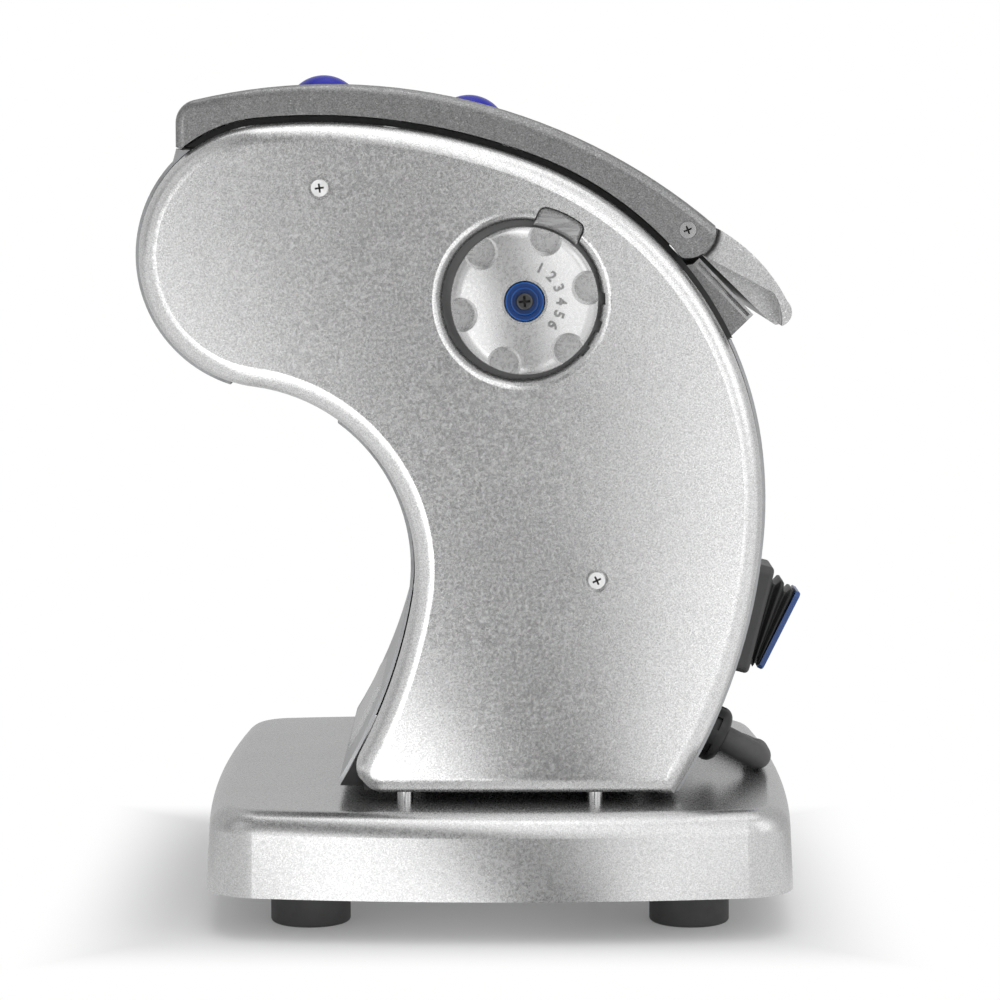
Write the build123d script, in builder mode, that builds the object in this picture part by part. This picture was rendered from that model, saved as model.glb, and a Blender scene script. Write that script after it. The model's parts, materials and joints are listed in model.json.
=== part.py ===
from build123d import *
import math
import os

os.makedirs("parts", exist_ok=True)

# Electric pasta maker. Millimetres. X runs from the nose to the switch side, Y from the knob side
# to the gear side, Z up. The origin is on the table under the middle of the machine.

# ---------------------------------------------------------------- body outline, seen from the side
# The outline is one chain of tangent arcs. Each arc has a radius (below zero where it is hollow),
# and the chain passes from one arc to the next where the outward normal has the named angle.
NOSE_CENTRE = Vector(-69.7, 233.4)
NOSE_RADIUS = 46.6
TOP_RADIUS = 213.0
SHOULDER_RADIUS = 123.0
BACK_RADIUS = 149.7
TAIL_RADIUS = 203.0
ARCH_RADIUS = -61.5
TOE_RADIUS = -181.0
NOSE_TO_TOP = 95.4
TOP_TO_SHOULDER = 69.4
SHOULDER_TO_BACK = 8.2
BACK_TO_TAIL = -5.0
NOSE_TO_ARCH = 262.7
ARCH_TO_TOE = 170.3

# ---------------------------------------------------------------- widths, all from the rollers
ROLLER_LENGTH = 149.0
ROLLER_END_GAP = 1.5
PLATE_THICKNESS = 3.0
PLATE_INNER = ROLLER_LENGTH / 2 + ROLLER_END_GAP
PLATE_OUTER = PLATE_INNER + PLATE_THICKNESS
COVER_RIM_GAP = 0.8
COVER_DEPTH = 15.2
COVER_RIM = PLATE_OUTER + COVER_RIM_GAP
COVER_FACE = COVER_RIM + COVER_DEPTH
LID_OVERHANG = 7.0
LID_HALF_WIDTH = PLATE_OUTER + LID_OVERHANG
CHEEK_THICKNESS = 5.8
CHEEK_INNER = LID_HALF_WIDTH - CHEEK_THICKNESS
SLOT_LENGTH = ROLLER_LENGTH - 3.0
FLAP_ARM_PLAY = 0.6
FLAP_ARM_THICKNESS = 5.6
FLAP_ARM_OUTER = CHEEK_INNER - FLAP_ARM_PLAY
FLAP_ARM_INNER = FLAP_ARM_OUTER - FLAP_ARM_THICKNESS
CHUTE_HALF_WIDTH = PLATE_INNER - 0.5
GEAR_GAP = 1.6
INNER_GEAR_WIDTH = 4.0
OUTER_GEAR_WIDTH = 3.6
GEAR_INNER_Y = PLATE_OUTER + GEAR_GAP
GEAR_MIDDLE_Y = GEAR_INNER_Y + INNER_GEAR_WIDTH
GEAR_OUTER_Y = GEAR_MIDDLE_Y + OUTER_GEAR_WIDTH
KNOB_SUNK = 8.2
KNOB_PROUD = 9.5
KNOB_POCKET_DEPTH = 8.5
KNOB_BACK = COVER_FACE - KNOB_SUNK
KNOB_FRONT = COVER_FACE + KNOB_PROUD
KNOB_POCKET_FLOOR = KNOB_FRONT - KNOB_POCKET_DEPTH

# ---------------------------------------------------------------- base and feet
BASE_CENTRE_X = 9.0
BASE_LENGTH = 210.0
BASE_DEPTH = 229.0
BASE_BOW_SIDE = 9.5
BASE_BOW_END = 4.5
BASE_CORNER = 20.0
BASE_BOTTOM = 15.0
BASE_TOP = 44.3
BASE_EDGE = 8.0
BASE_DRAFT = 3.0
BASE_WALL = 3.0
BASE_PLATE_THICKNESS = 2.0
BASE_PLATE_RECESS = 1.0
FOOT_RADIUS = 14.0
FOOT_SPACING_X = 133.0
FOOT_SPACING_Y = 145.4
FOOT_BOSS_RADIUS = 6.0
FOOT_POCKET_RADIUS = 5.5
FOOT_POCKET_DEPTH = 6.0

# ---------------------------------------------------------------- frame and skins
FRAME_SILL = 49.0
FLANGE_WIDTH = 8.6
FLANGE_LENGTH = 94.0
SKIN_GAP = 0.5
SKIN_THICKNESS = 1.1
SKIN_INSET = SKIN_GAP + SKIN_THICKNESS
SKIN_SILL = 47.0
NOSE_SKIN_START_X = -84.0
NOSE_SKIN_TOP = 269.6
NOSE_LIP_RISE = 0.5
OUTLET_TO_X = -47.0
REAR_SKIN_TOP = 204.6

# ---------------------------------------------------------------- side covers
COVER_SILL = 47.0
COVER_WALL = 2.5
COVER_EDGE = 7.0
COVER_FRONT_CORNER = 9.5
COVER_REAR_CORNER = 7.5
CROWN_RADIUS = 2200.0
CROWN_X = 5.0
CROWN_Z = 175.0
COVER_SCREWS = ((-52.3, 256.7), (42.2, 122.6))
SCREW_POCKET_RADIUS = 4.0
SCREW_POCKET_DEPTH = 2.6
SCREW_BOSS_RADIUS = 6.0

# ---------------------------------------------------------------- top cover and buttons
LID_CENTRE = Vector(-48.8, 88.5)
LID_RADIUS = 203.5
LID_FRONT_X = -101.8
LID_FRONT_Z = 270.6
LID_FRONT_CORNER = 8.0
LID_EDGE = 3.0
LID_WALL = 2.5
LID_FRONT_FOOT = 1.6
LID_GAP = 0.8
PLATE_LID_GAP = 0.3
FLAP_PIVOT = Vector(73.2, 242.4)
CHEEK_RADIUS = 9.6
SLOT_WIDTH = 6.0
BUTTON_X = (-55.4, 0.3)
BUTTON_SUNK = (0.0, 1.5)
BUTTON_RADIUS = 10.6
BUTTON_DOME = 4.8
BUTTON_SKIRT = 8.0
BUTTON_WALL = 1.6
BUTTON_CLEARANCE = 0.25
BUTTON_STEM_RADIUS = 3.0
BUTTON_TUBE_DEPTH = 15.0

# ---------------------------------------------------------------- flap and chute
FLAP_GAP = 0.8
FLAP_ARM_RADIUS = 3.6
FLAP_SCREW_RADIUS = 1.9
RAIL_THICKNESS = 3.0
RAIL_SHEET = 0.9

# ---------------------------------------------------------------- rollers and gears
KNOB_CENTRE = Vector(17.3, 218.7)
ROLLER_RADIUS = 13.0
GAP_OPEN = 2.2
GAP_CLOSED = 0.2
KNOB_TURN = 105.0
ADJUSTER_RADIUS = 4.0
ADJUSTER_NEAR_RADIUS = 5.4
ADJUSTER_FAR_RADIUS = 2.6
SLEEVE_PLAY = 0.4
SLEEVE_RADIUS = 6.2
SLEEVE_LENGTH = 18.0
HUB_RADIUS = 8.0
JOURNAL_RADIUS = 4.5
JOURNAL_PLAY = 0.05
BUSH_RADIUS = 7.0
BUSH_FLANGE_RADIUS = 8.5
BUSH_FLANGE = 0.8
CUTTER_CENTRES_X = (-81.9, -27.9)
CUTTER_Z = 236.0
CUTTER_RADIUS = 12.2
CUTTER_CORE_RADIUS = 9.4
CUTTER_SIDE_PLAY = 0.3
WIDE_NOODLE = 6.6
NARROW_NOODLE = 4.0
TOOTH_MODULE = 1.75
TOOTH_ADDENDUM = 0.95
TOOTH_DEDENDUM = 1.2
TOOTH_THICKNESS = 0.42
TOOTH_TIP = 0.22
MESH_PLAY = 0.15
ROLLER_TEETH = 15
CUTTER_TEETH = 13
CENTRE_IDLER_TEETH = 20
SMALL_IDLER_TEETH = 10
WHEEL_TEETH = 32
PINION_TEETH = 12
WHEEL_ANGLE = -45.0
PINION_ANGLE = -60.0
GEAR_PLAY = 0.4
GEAR_PLATE_THICKNESS = 1.8
PIN_RADIUS = 3.0
PIN_PLAY = 0.02

# ---------------------------------------------------------------- knob
KNOB_RADIUS = 25.0
KNOB_CROWN_RADIUS = 120.0
KNOB_SHOULDER = 4.5
RECESS_RADIUS = 27.2
RECESS_SHIFT = 0.9
RECESS_ROLL = 3.3
RECESS_DEPTH = 8.5
DIMPLE_COUNT = 6
DIMPLE_RADIUS = 6.3
DIMPLE_TAPER = 10.0
DIMPLE_CIRCLE = 22.4
DIMPLE_DEPTH = 7.5
DIMPLE_ANGLE = 72.0
KNOB_POCKET_RADIUS = 7.0
KNOB_STEP_RADIUS = 7.8
KNOB_STEP_DEPTH = 0.8
HUB_CAP_RADIUS = 6.6
HUB_CAP_THICKNESS = 3.5
HUB_SCREW_RADIUS = 2.9
TAB_ANGLE = 65.0
TAB_WIDTH = 17.0
TAB_LENGTH = 14.0
TAB_REACH = 32.6
TAB_CORNER = 3.0
TAB_PLAY = 0.5
NOTCH_ANGLES = (1.0, -19.5, -40.0)
NOTCH_WIDTH = 4.0
NOTCH_REACH = 27.6

# ---------------------------------------------------------------- motor
MOTOR_RADIUS = 24.0
MOTOR_LENGTH = 50.0
GEARBOX_SIZE = 50.0
GEARBOX_LENGTH = 34.0

# ---------------------------------------------------------------- switch
SWITCH_ANGLE = -14.0
SWITCH_Y = -30.0
SWITCH_HEIGHT = 39.4
SWITCH_WIDTH = 28.0
SWITCH_PROUD = 7.5
SWITCH_DEPTH = 18.0
ROCKER_HEIGHT = 31.0
ROCKER_WIDTH = 21.0
ROCKER_THICKNESS = 2.0
ROCKER_LIFT = 10.5
ROCKER_PIVOT_DEPTH = 2.0
ROCKER_TILT = 12.3

# ---------------------------------------------------------------- cable gland and cord
GLAND_ANGLE = -26.4
GLAND_Y = -30.0
GLAND_RADIUS = 10.3
GLAND_PROUD = 11.0
SLEEVE_TUBE_RADIUS = 4.8
CORD_RADIUS = 3.5
FLOOR_CLEARANCE = 0.15


def polar(angle, radius=1.0):
    """Vector of this length at this angle in degrees."""
    return Vector(radius * math.cos(math.radians(angle)), radius * math.sin(math.radians(angle)))


def section(y):
    """Work plane seen from the knob side (X to the right, Z up) at depth y; it extrudes towards -Y."""
    return Plane.XZ.offset(-y)


def next_centre(centre, radius, next_radius, angle):
    """Centre of the arc that carries on tangentially from the arc round centre at this angle."""
    return centre + polar(angle, radius - next_radius)


TOP_CENTRE = next_centre(NOSE_CENTRE, NOSE_RADIUS, TOP_RADIUS, NOSE_TO_TOP)
SHOULDER_CENTRE = next_centre(TOP_CENTRE, TOP_RADIUS, SHOULDER_RADIUS, TOP_TO_SHOULDER)
BACK_CENTRE = next_centre(SHOULDER_CENTRE, SHOULDER_RADIUS, BACK_RADIUS, SHOULDER_TO_BACK)
TAIL_CENTRE = next_centre(BACK_CENTRE, BACK_RADIUS, TAIL_RADIUS, BACK_TO_TAIL)
ARCH_CENTRE = next_centre(NOSE_CENTRE, NOSE_RADIUS, ARCH_RADIUS, NOSE_TO_ARCH)
TOE_CENTRE = next_centre(ARCH_CENTRE, ARCH_RADIUS, TOE_RADIUS, ARCH_TO_TOE)


def arc_round(centre, radius, start, end):
    """Arc round a centre between two angles of its outward normal."""
    middle = (start + end) / 2
    return ThreePointArc(
        centre + polar(start, radius), centre + polar(middle, radius), centre + polar(end, radius)
    )


def body_profile(inset, sill, front_corner=0.0, rear_corner=0.0):
    """Side outline of the body, moved inwards by inset and cut off level at the sill."""
    tail_end = math.degrees(math.asin((sill - TAIL_CENTRE.Y) / (TAIL_RADIUS - inset)))
    toe_end = 180 - math.degrees(math.asin((sill - TOE_CENTRE.Y) / (TOE_RADIUS - inset)))
    with BuildSketch() as profile:
        with BuildLine():
            arc_round(TAIL_CENTRE, TAIL_RADIUS - inset, tail_end, BACK_TO_TAIL)
            arc_round(BACK_CENTRE, BACK_RADIUS - inset, BACK_TO_TAIL, SHOULDER_TO_BACK)
            arc_round(SHOULDER_CENTRE, SHOULDER_RADIUS - inset, SHOULDER_TO_BACK, TOP_TO_SHOULDER)
            arc_round(TOP_CENTRE, TOP_RADIUS - inset, TOP_TO_SHOULDER, NOSE_TO_TOP)
            arc_round(NOSE_CENTRE, NOSE_RADIUS - inset, NOSE_TO_TOP, NOSE_TO_ARCH)
            arc_round(ARCH_CENTRE, ARCH_RADIUS - inset, NOSE_TO_ARCH, ARCH_TO_TOE)
            arc_round(TOE_CENTRE, TOE_RADIUS - inset, ARCH_TO_TOE, toe_end)
            Line(
                TOE_CENTRE + polar(toe_end, TOE_RADIUS - inset),
                TAIL_CENTRE + polar(tail_end, TAIL_RADIUS - inset),
            )
        make_face()
        feet = profile.vertices().sort_by(Axis.Y)[:2].sort_by(Axis.X)
        if front_corner > 0:
            fillet(feet[0], front_corner)
        if rear_corner > 0:
            fillet(feet[1], rear_corner)
    return profile.sketch


FAR_OUT = 400.0


def windows(boxes):
    """Rectangles in the side view, each given as (x low, z low, x high, z high)."""
    with BuildSketch() as panes:
        for x_low, z_low, x_high, z_high in boxes:
            with Locations(((x_low + x_high) / 2, (z_low + z_high) / 2)):
                Rectangle(x_high - x_low, z_high - z_low)
    return panes.sketch


def save(piece, name):
    """Label the finished piece and write its STEP file."""
    piece.part.label = name
    export_step(piece.part, f"parts/{name}.step")


# ================================================================ base
def base_plan(inset):
    """Bowed rectangle with round corners, moved inwards by inset."""
    half_x = BASE_LENGTH / 2 - inset
    half_y = BASE_DEPTH / 2 - inset
    corner_x = half_x - BASE_BOW_END
    corner_y = half_y - BASE_BOW_SIDE
    with BuildSketch() as plan:
        with BuildLine():
            ThreePointArc((-corner_x, -corner_y), (0, -half_y), (corner_x, -corner_y))
            ThreePointArc((corner_x, -corner_y), (half_x, 0), (corner_x, corner_y))
            ThreePointArc((corner_x, corner_y), (0, half_y), (-corner_x, corner_y))
            ThreePointArc((-corner_x, corner_y), (-half_x, 0), (-corner_x, -corner_y))
        make_face()
        fillet(plan.vertices(), BASE_CORNER - inset)
    return plan.sketch


BASE_PLATE_BOTTOM = BASE_BOTTOM + BASE_PLATE_RECESS
BASE_PLATE_TOP = BASE_PLATE_BOTTOM + BASE_PLATE_THICKNESS
STUD_X = (-23.9, 41.9)
STUD_Y = PLATE_OUTER + 5.2
STUD_RADIUS = 2.0

with BuildPart() as base_housing:
    with BuildSketch(Plane.XY.offset(BASE_BOTTOM)):
        with Locations((BASE_CENTRE_X, 0)):
            add(base_plan(0))
    extrude(amount=BASE_TOP - BASE_BOTTOM, taper=BASE_DRAFT)
    fillet(base_housing.faces().sort_by(Axis.Z)[-1].edges(), BASE_EDGE)
    with BuildSketch(Plane.XY.offset(BASE_BOTTOM)):
        with Locations((BASE_CENTRE_X, 0)):
            add(base_plan(BASE_WALL))
    extrude(amount=BASE_TOP - BASE_BOTTOM - BASE_WALL, taper=BASE_DRAFT, mode=Mode.SUBTRACT)
    with BuildSketch(Plane.XY.offset(BASE_PLATE_TOP)):
        with Locations((BASE_CENTRE_X, 0)):
            with GridLocations(FOOT_SPACING_X, FOOT_SPACING_Y, 2, 2):
                Circle(FOOT_BOSS_RADIUS)
    extrude(amount=BASE_TOP - BASE_PLATE_TOP - BASE_WALL / 2)
    with BuildSketch(Plane.XY.offset(BASE_PLATE_TOP)):
        with Locations((BASE_CENTRE_X, 0)):
            with GridLocations(FOOT_SPACING_X, FOOT_SPACING_Y, 2, 2):
                Circle(STUD_RADIUS)
    extrude(amount=15, mode=Mode.SUBTRACT)
    with Locations([(x, y, BASE_TOP) for x in STUD_X for y in (-STUD_Y, STUD_Y)]):
        Hole(STUD_RADIUS + 0.1, depth=BASE_WALL * 2)
save(base_housing, "base_housing")

with BuildPart() as base_plate:
    with BuildSketch(Plane.XY.offset(BASE_PLATE_BOTTOM)):
        with Locations((BASE_CENTRE_X, 0)):
            add(base_plan(BASE_WALL + 0.3))
            with GridLocations(FOOT_SPACING_X, FOOT_SPACING_Y, 2, 2):
                Circle(STUD_RADIUS, mode=Mode.SUBTRACT)
            with GridLocations(14, 60, 5, 1):
                SlotOverall(60, 5, rotation=90, mode=Mode.SUBTRACT)
    extrude(amount=BASE_PLATE_THICKNESS)
save(base_plate, "base_plate")

with BuildPart() as rubber_feet:
    with BuildSketch(Plane.XY):
        with Locations((BASE_CENTRE_X, 0)):
            with GridLocations(FOOT_SPACING_X, FOOT_SPACING_Y, 2, 2):
                Circle(FOOT_RADIUS)
    extrude(amount=BASE_PLATE_BOTTOM)
    fillet(rubber_feet.edges().group_by(Axis.Z)[0], 1.2)
    with BuildSketch(Plane.XY):
        with Locations((BASE_CENTRE_X, 0)):
            with GridLocations(FOOT_SPACING_X, FOOT_SPACING_Y, 2, 2):
                Circle(FOOT_POCKET_RADIUS)
    extrude(amount=FOOT_POCKET_DEPTH, mode=Mode.SUBTRACT)
    with BuildSketch(Plane.XY):
        with Locations((BASE_CENTRE_X, 0)):
            with GridLocations(FOOT_SPACING_X, FOOT_SPACING_Y, 2, 2):
                Circle(STUD_RADIUS)
    extrude(amount=BASE_PLATE_BOTTOM, mode=Mode.SUBTRACT)
save(rubber_feet, "rubber_feet")

with BuildPart() as foot_screws:
    with BuildSketch(Plane.XY.offset(FOOT_POCKET_DEPTH - 2.6)):
        with Locations((BASE_CENTRE_X, 0)):
            with GridLocations(FOOT_SPACING_X, FOOT_SPACING_Y, 2, 2):
                Circle(4)
    extrude(amount=2.6)
    with BuildSketch(Plane.XY.offset(FOOT_POCKET_DEPTH)):
        with Locations((BASE_CENTRE_X, 0)):
            with GridLocations(FOOT_SPACING_X, FOOT_SPACING_Y, 2, 2):
                Circle(STUD_RADIUS - 0.1)
    extrude(amount=BASE_PLATE_TOP - FOOT_POCKET_DEPTH + 10)
save(foot_screws, "foot_screws")

# Studs that bolt the flanges of the frame to the base, with a washer in the gap between them.
with BuildPart() as body_studs:
    with Locations([(x, y, BASE_TOP - BASE_WALL - 6) for x in STUD_X for y in (-STUD_Y, STUD_Y)]):
        Cylinder(STUD_RADIUS, FRAME_SILL - BASE_TOP + BASE_WALL + 13,
                 align=(Align.CENTER, Align.CENTER, Align.MIN))
    with Locations([(x, y, BASE_TOP) for x in STUD_X for y in (-STUD_Y, STUD_Y)]):
        Cylinder(STUD_RADIUS + 0.8, FRAME_SILL - BASE_TOP, align=(Align.CENTER, Align.CENTER, Align.MIN))
save(body_studs, "body_studs")


# ================================================================ where the axes lie
GAP_TRAVEL = GAP_OPEN - GAP_CLOSED
THROW = GAP_TRAVEL / 2 / math.sin(math.radians(KNOB_TURN / 2))
THROW_ANGLE = 180 - KNOB_TURN / 2
ROLLER_SHIFT_X = -THROW * (1 + math.cos(math.radians(KNOB_TURN / 2))) / 2
UPPER_ROLLER = KNOB_CENTRE + Vector(ROLLER_SHIFT_X, GAP_TRAVEL / 2)
LOWER_ROLLER = UPPER_ROLLER - Vector(0, 2 * ROLLER_RADIUS + GAP_OPEN)


def pitch_radius(teeth):
    return TOOTH_MODULE * teeth / 2


def mesh_distance(teeth, other_teeth):
    return pitch_radius(teeth) + pitch_radius(other_teeth) + MESH_PLAY


def centre_between(first, first_distance, second, second_distance, side):
    """Point at the given distances from two points, to the left (1) or right (-1) of the way."""
    way = second - first
    span = way.length
    along = (first_distance**2 - second_distance**2 + span**2) / (2 * span)
    across = side * math.sqrt(first_distance**2 - along**2)
    return first + way * (along / span) + Vector(-way.Y, way.X) * (across / span)


CUTTER_SPACING = mesh_distance(CUTTER_TEETH, CUTTER_TEETH)
CUTTER_AXES = {
    "wide_front": Vector(CUTTER_CENTRES_X[0] - CUTTER_SPACING / 2, CUTTER_Z),
    "wide_rear": Vector(CUTTER_CENTRES_X[0] + CUTTER_SPACING / 2, CUTTER_Z),
    "narrow_front": Vector(CUTTER_CENTRES_X[1] - CUTTER_SPACING / 2, CUTTER_Z),
    "narrow_rear": Vector(CUTTER_CENTRES_X[1] + CUTTER_SPACING / 2, CUTTER_Z),
}
CENTRE_IDLER = centre_between(
    LOWER_ROLLER, mesh_distance(ROLLER_TEETH, CENTRE_IDLER_TEETH),
    CUTTER_AXES["narrow_rear"], mesh_distance(CENTRE_IDLER_TEETH, CUTTER_TEETH), 1,
)
# The two small idlers hang symmetrically below the gears that they join.
IDLER_REACH = mesh_distance(CUTTER_TEETH, SMALL_IDLER_TEETH)
IDLER_SPACING = mesh_distance(SMALL_IDLER_TEETH, SMALL_IDLER_TEETH)
IDLER_SPAN = CUTTER_AXES["narrow_front"].X - CUTTER_AXES["wide_rear"].X
IDLER_SIDE = (IDLER_SPAN - IDLER_SPACING) / 2
IDLER_DROP = math.sqrt(IDLER_REACH**2 - IDLER_SIDE**2)
REAR_IDLER = CUTTER_AXES["narrow_front"] - Vector(IDLER_SIDE, IDLER_DROP)
FRONT_IDLER = CUTTER_AXES["wide_rear"] + Vector(IDLER_SIDE, -IDLER_DROP)
DRIVE_WHEEL = LOWER_ROLLER + polar(WHEEL_ANGLE, mesh_distance(ROLLER_TEETH, WHEEL_TEETH))
PINION = DRIVE_WHEEL + polar(PINION_ANGLE, mesh_distance(WHEEL_TEETH, PINION_TEETH))
TIE_RODS = ((-66, 266), (30, 250), (-90, 206), (-4, 140), (82, 190), (-24, 64), (62, 64))
TIE_ROD_RADIUS = 5.0


# ================================================================ frame plates
def plate_profile():
    """Outline of a frame plate: inside the skins, and close under the top cover above them."""
    with BuildSketch() as outline:
        add(body_profile(PLATE_LID_GAP - LID_GAP, FRAME_SILL))
        add(windows([
            (-FAR_OUT, NOSE_SKIN_TOP + NOSE_LIP_RISE + SKIN_GAP, 0, FAR_OUT),
            (0, REAR_SKIN_TOP + SKIN_GAP, FAR_OUT, FAR_OUT),
        ]), mode=Mode.INTERSECT)
        add(body_profile(SKIN_INSET, FRAME_SILL))
    return outline.sketch


def frame_plate(side, bushed, open_holes):
    """Steel side plate with a flange turned outwards at its foot."""
    with BuildPart() as plate:
        with BuildSketch(section(side * PLATE_INNER)):
            add(plate_profile())
            for centre in bushed:
                with Locations(centre):
                    Circle(BUSH_RADIUS, mode=Mode.SUBTRACT)
            for centre, radius in open_holes:
                with Locations(centre):
                    Circle(radius, mode=Mode.SUBTRACT)
        extrude(amount=-side * PLATE_THICKNESS)
        flange_y = side * (PLATE_INNER + (PLATE_THICKNESS + FLANGE_WIDTH) / 2)
        with Locations((BASE_CENTRE_X, flange_y, FRAME_SILL)):
            Box(FLANGE_LENGTH, PLATE_THICKNESS + FLANGE_WIDTH, PLATE_THICKNESS,
                align=(Align.CENTER, Align.CENTER, Align.MIN))
        with Locations([(x, side * STUD_Y, FRAME_SILL + PLATE_THICKNESS) for x in STUD_X]):
            Hole(STUD_RADIUS + 0.1, depth=2 * PLATE_THICKNESS)
    return plate


SCREW_RADIUS = 1.9
ROD_HOLES = [(rod, SCREW_RADIUS + 0.1) for rod in TIE_RODS]
PANEL_HOLES = [(screw, SCREW_RADIUS + 0.1) for screw in COVER_SCREWS]
CUTTER_LIST = list(CUTTER_AXES.values())

near_frame_plate = frame_plate(-1, CUTTER_LIST + [LOWER_ROLLER, KNOB_CENTRE], ROD_HOLES + PANEL_HOLES)
save(near_frame_plate, "near_frame_plate")

UPPER_HOLE = (UPPER_ROLLER - Vector(0, GAP_TRAVEL / 2), HUB_RADIUS + GAP_TRAVEL / 2 + 0.6)
PIN_HOLES = [(centre, PIN_RADIUS + PIN_PLAY) for centre in (CENTRE_IDLER, REAR_IDLER, FRONT_IDLER, DRIVE_WHEEL)]
far_frame_plate = frame_plate(
    1, CUTTER_LIST + [LOWER_ROLLER, PINION], ROD_HOLES + PANEL_HOLES + PIN_HOLES + [UPPER_HOLE]
)
save(far_frame_plate, "far_frame_plate")

with BuildPart() as tie_rods:
    with BuildSketch(section(PLATE_INNER)):
        with Locations(*TIE_RODS):
            Circle(TIE_ROD_RADIUS)
            Circle(SCREW_RADIUS + 0.1, mode=Mode.SUBTRACT)
    extrude(amount=2 * PLATE_INNER)
save(tie_rods, "tie_rods")

with BuildPart() as tie_rod_screws:
    for side in (-1, 1):
        with BuildSketch(section(side * PLATE_OUTER)):
            with Locations(*TIE_RODS):
                Circle(3.6)
        extrude(amount=-side * 1.3)
        with BuildSketch(section(side * PLATE_OUTER)):
            with Locations(*TIE_RODS):
                Circle(SCREW_RADIUS)
        extrude(amount=side * 14)
save(tie_rod_screws, "tie_rod_screws")


# ================================================================ skins
def skin_band(sill):
    """Thin band inside the body outline, round the edge of the frame plates."""
    with BuildSketch() as band:
        add(body_profile(0, sill))
        add(body_profile(SKIN_THICKNESS, sill - 10), mode=Mode.SUBTRACT)
    return band.sketch


def skin(x_low, z_low, x_high, z_high):
    """Sheet over both frame plates: the piece of the skin band inside this window."""
    with BuildPart() as sheet:
        with BuildSketch(section(PLATE_OUTER)):
            add(skin_band(SKIN_SILL))
            add(windows([(x_low, z_low, x_high, z_high)]), mode=Mode.INTERSECT)
        extrude(amount=2 * PLATE_OUTER)
    return sheet


# The nose skin ends in a lip that closes the corner under the front edge of the top cover.
NOSE_LIP_TOP = NOSE_SKIN_TOP + NOSE_LIP_RISE
NOSE_LIP = ((-103.2, 265.7), (-102.0, NOSE_LIP_TOP), (-101.2, 269.9), (-99.8, 269.5), (-98.4, 269.4))
with BuildPart() as nose_skin:
    add(skin(-FAR_OUT, ARCH_CENTRE.Y, NOSE_SKIN_START_X, NOSE_SKIN_TOP).part)
    with BuildSketch(section(PLATE_OUTER)):
        with BuildLine():
            Polyline(*NOSE_LIP, close=True)
        make_face()
    extrude(amount=2 * PLATE_OUTER)
save(nose_skin, "nose_skin")

front_skin = skin(OUTLET_TO_X, 0, 0, NOSE_CENTRE.Y - NOSE_RADIUS)
save(front_skin, "front_skin")

SWITCH_NORMAL = polar(SWITCH_ANGLE)
SEAT_RADIUS = TAIL_RADIUS + 0.2
SWITCH_SEAT = TAIL_CENTRE + polar(SWITCH_ANGLE, SEAT_RADIUS)
SWITCH_PLANE = Plane(
    origin=(SWITCH_SEAT.X, SWITCH_Y, SWITCH_SEAT.Y),
    x_dir=(0, 1, 0),
    z_dir=(SWITCH_NORMAL.X, 0, SWITCH_NORMAL.Y),
)
GLAND_NORMAL = polar(GLAND_ANGLE)
GLAND_SEAT = TAIL_CENTRE + polar(GLAND_ANGLE, SEAT_RADIUS)
GLAND_PLANE = Plane(
    origin=(GLAND_SEAT.X, GLAND_Y, GLAND_SEAT.Y),
    x_dir=(0, 1, 0),
    z_dir=(GLAND_NORMAL.X, 0, GLAND_NORMAL.Y),
)

with BuildPart() as rear_skin:
    add(skin(0, 0, FAR_OUT, REAR_SKIN_TOP).part)
    with BuildSketch(SWITCH_PLANE):
        Rectangle(SWITCH_WIDTH - 5, SWITCH_HEIGHT - 5)
    extrude(amount=-8, mode=Mode.SUBTRACT)
    with BuildSketch(GLAND_PLANE):
        Circle(GLAND_RADIUS - 3)
    extrude(amount=-8, mode=Mode.SUBTRACT)
save(rear_skin, "rear_skin")


# ================================================================ side covers
def cover_block(inset, sill, edge):
    """Crowned block with rounded edges; the cover is the outer block less the inner one."""
    depth = COVER_FACE - COVER_RIM - inset
    with BuildPart() as block:
        with BuildSketch(section(-COVER_RIM)):
            add(body_profile(SKIN_INSET + inset, sill, COVER_FRONT_CORNER, COVER_REAR_CORNER))
        extrude(amount=depth)
        with Locations((CROWN_X, CROWN_RADIUS - COVER_FACE, CROWN_Z)):
            Sphere(CROWN_RADIUS - inset, mode=Mode.INTERSECT)
        fillet(block.faces().sort_by(Axis.Y)[0].edges(), edge)
    return block


def cover_shell():
    """Shell of the near cover, with its two screw bosses, before the knob recess is cut."""
    with BuildPart() as shell:
        add(cover_block(0, COVER_SILL, COVER_EDGE).part)
        add(cover_block(COVER_WALL, COVER_SILL - 12, COVER_EDGE - COVER_WALL).part, mode=Mode.SUBTRACT)
        for x, z in COVER_SCREWS:
            crown_drop = ((x - CROWN_X) ** 2 + (z - CROWN_Z) ** 2) / (2 * CROWN_RADIUS)
            with BuildSketch(section(-PLATE_OUTER - SKIN_GAP)):
                with Locations((x, z)):
                    Circle(SCREW_BOSS_RADIUS)
            extrude(amount=COVER_FACE - crown_drop - COVER_WALL / 2 - PLATE_OUTER - SKIN_GAP)
        with BuildSketch(section(-COVER_FACE)):
            with Locations(*COVER_SCREWS):
                Circle(SCREW_POCKET_RADIUS)
        extrude(amount=-SCREW_POCKET_DEPTH - 1.5, mode=Mode.SUBTRACT)
        with BuildSketch(section(-COVER_FACE)):
            with Locations(*COVER_SCREWS):
                Circle(SCREW_RADIUS + 0.1)
        extrude(amount=-COVER_FACE + PLATE_INNER, mode=Mode.SUBTRACT)
    return shell


shell_piece = cover_shell().part
with BuildPart() as far_side_cover:
    add(mirror(shell_piece, about=Plane.XZ))
save(far_side_cover, "far_side_cover")

RECESS_CENTRE = KNOB_CENTRE - Vector(RECESS_SHIFT, 0)


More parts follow.
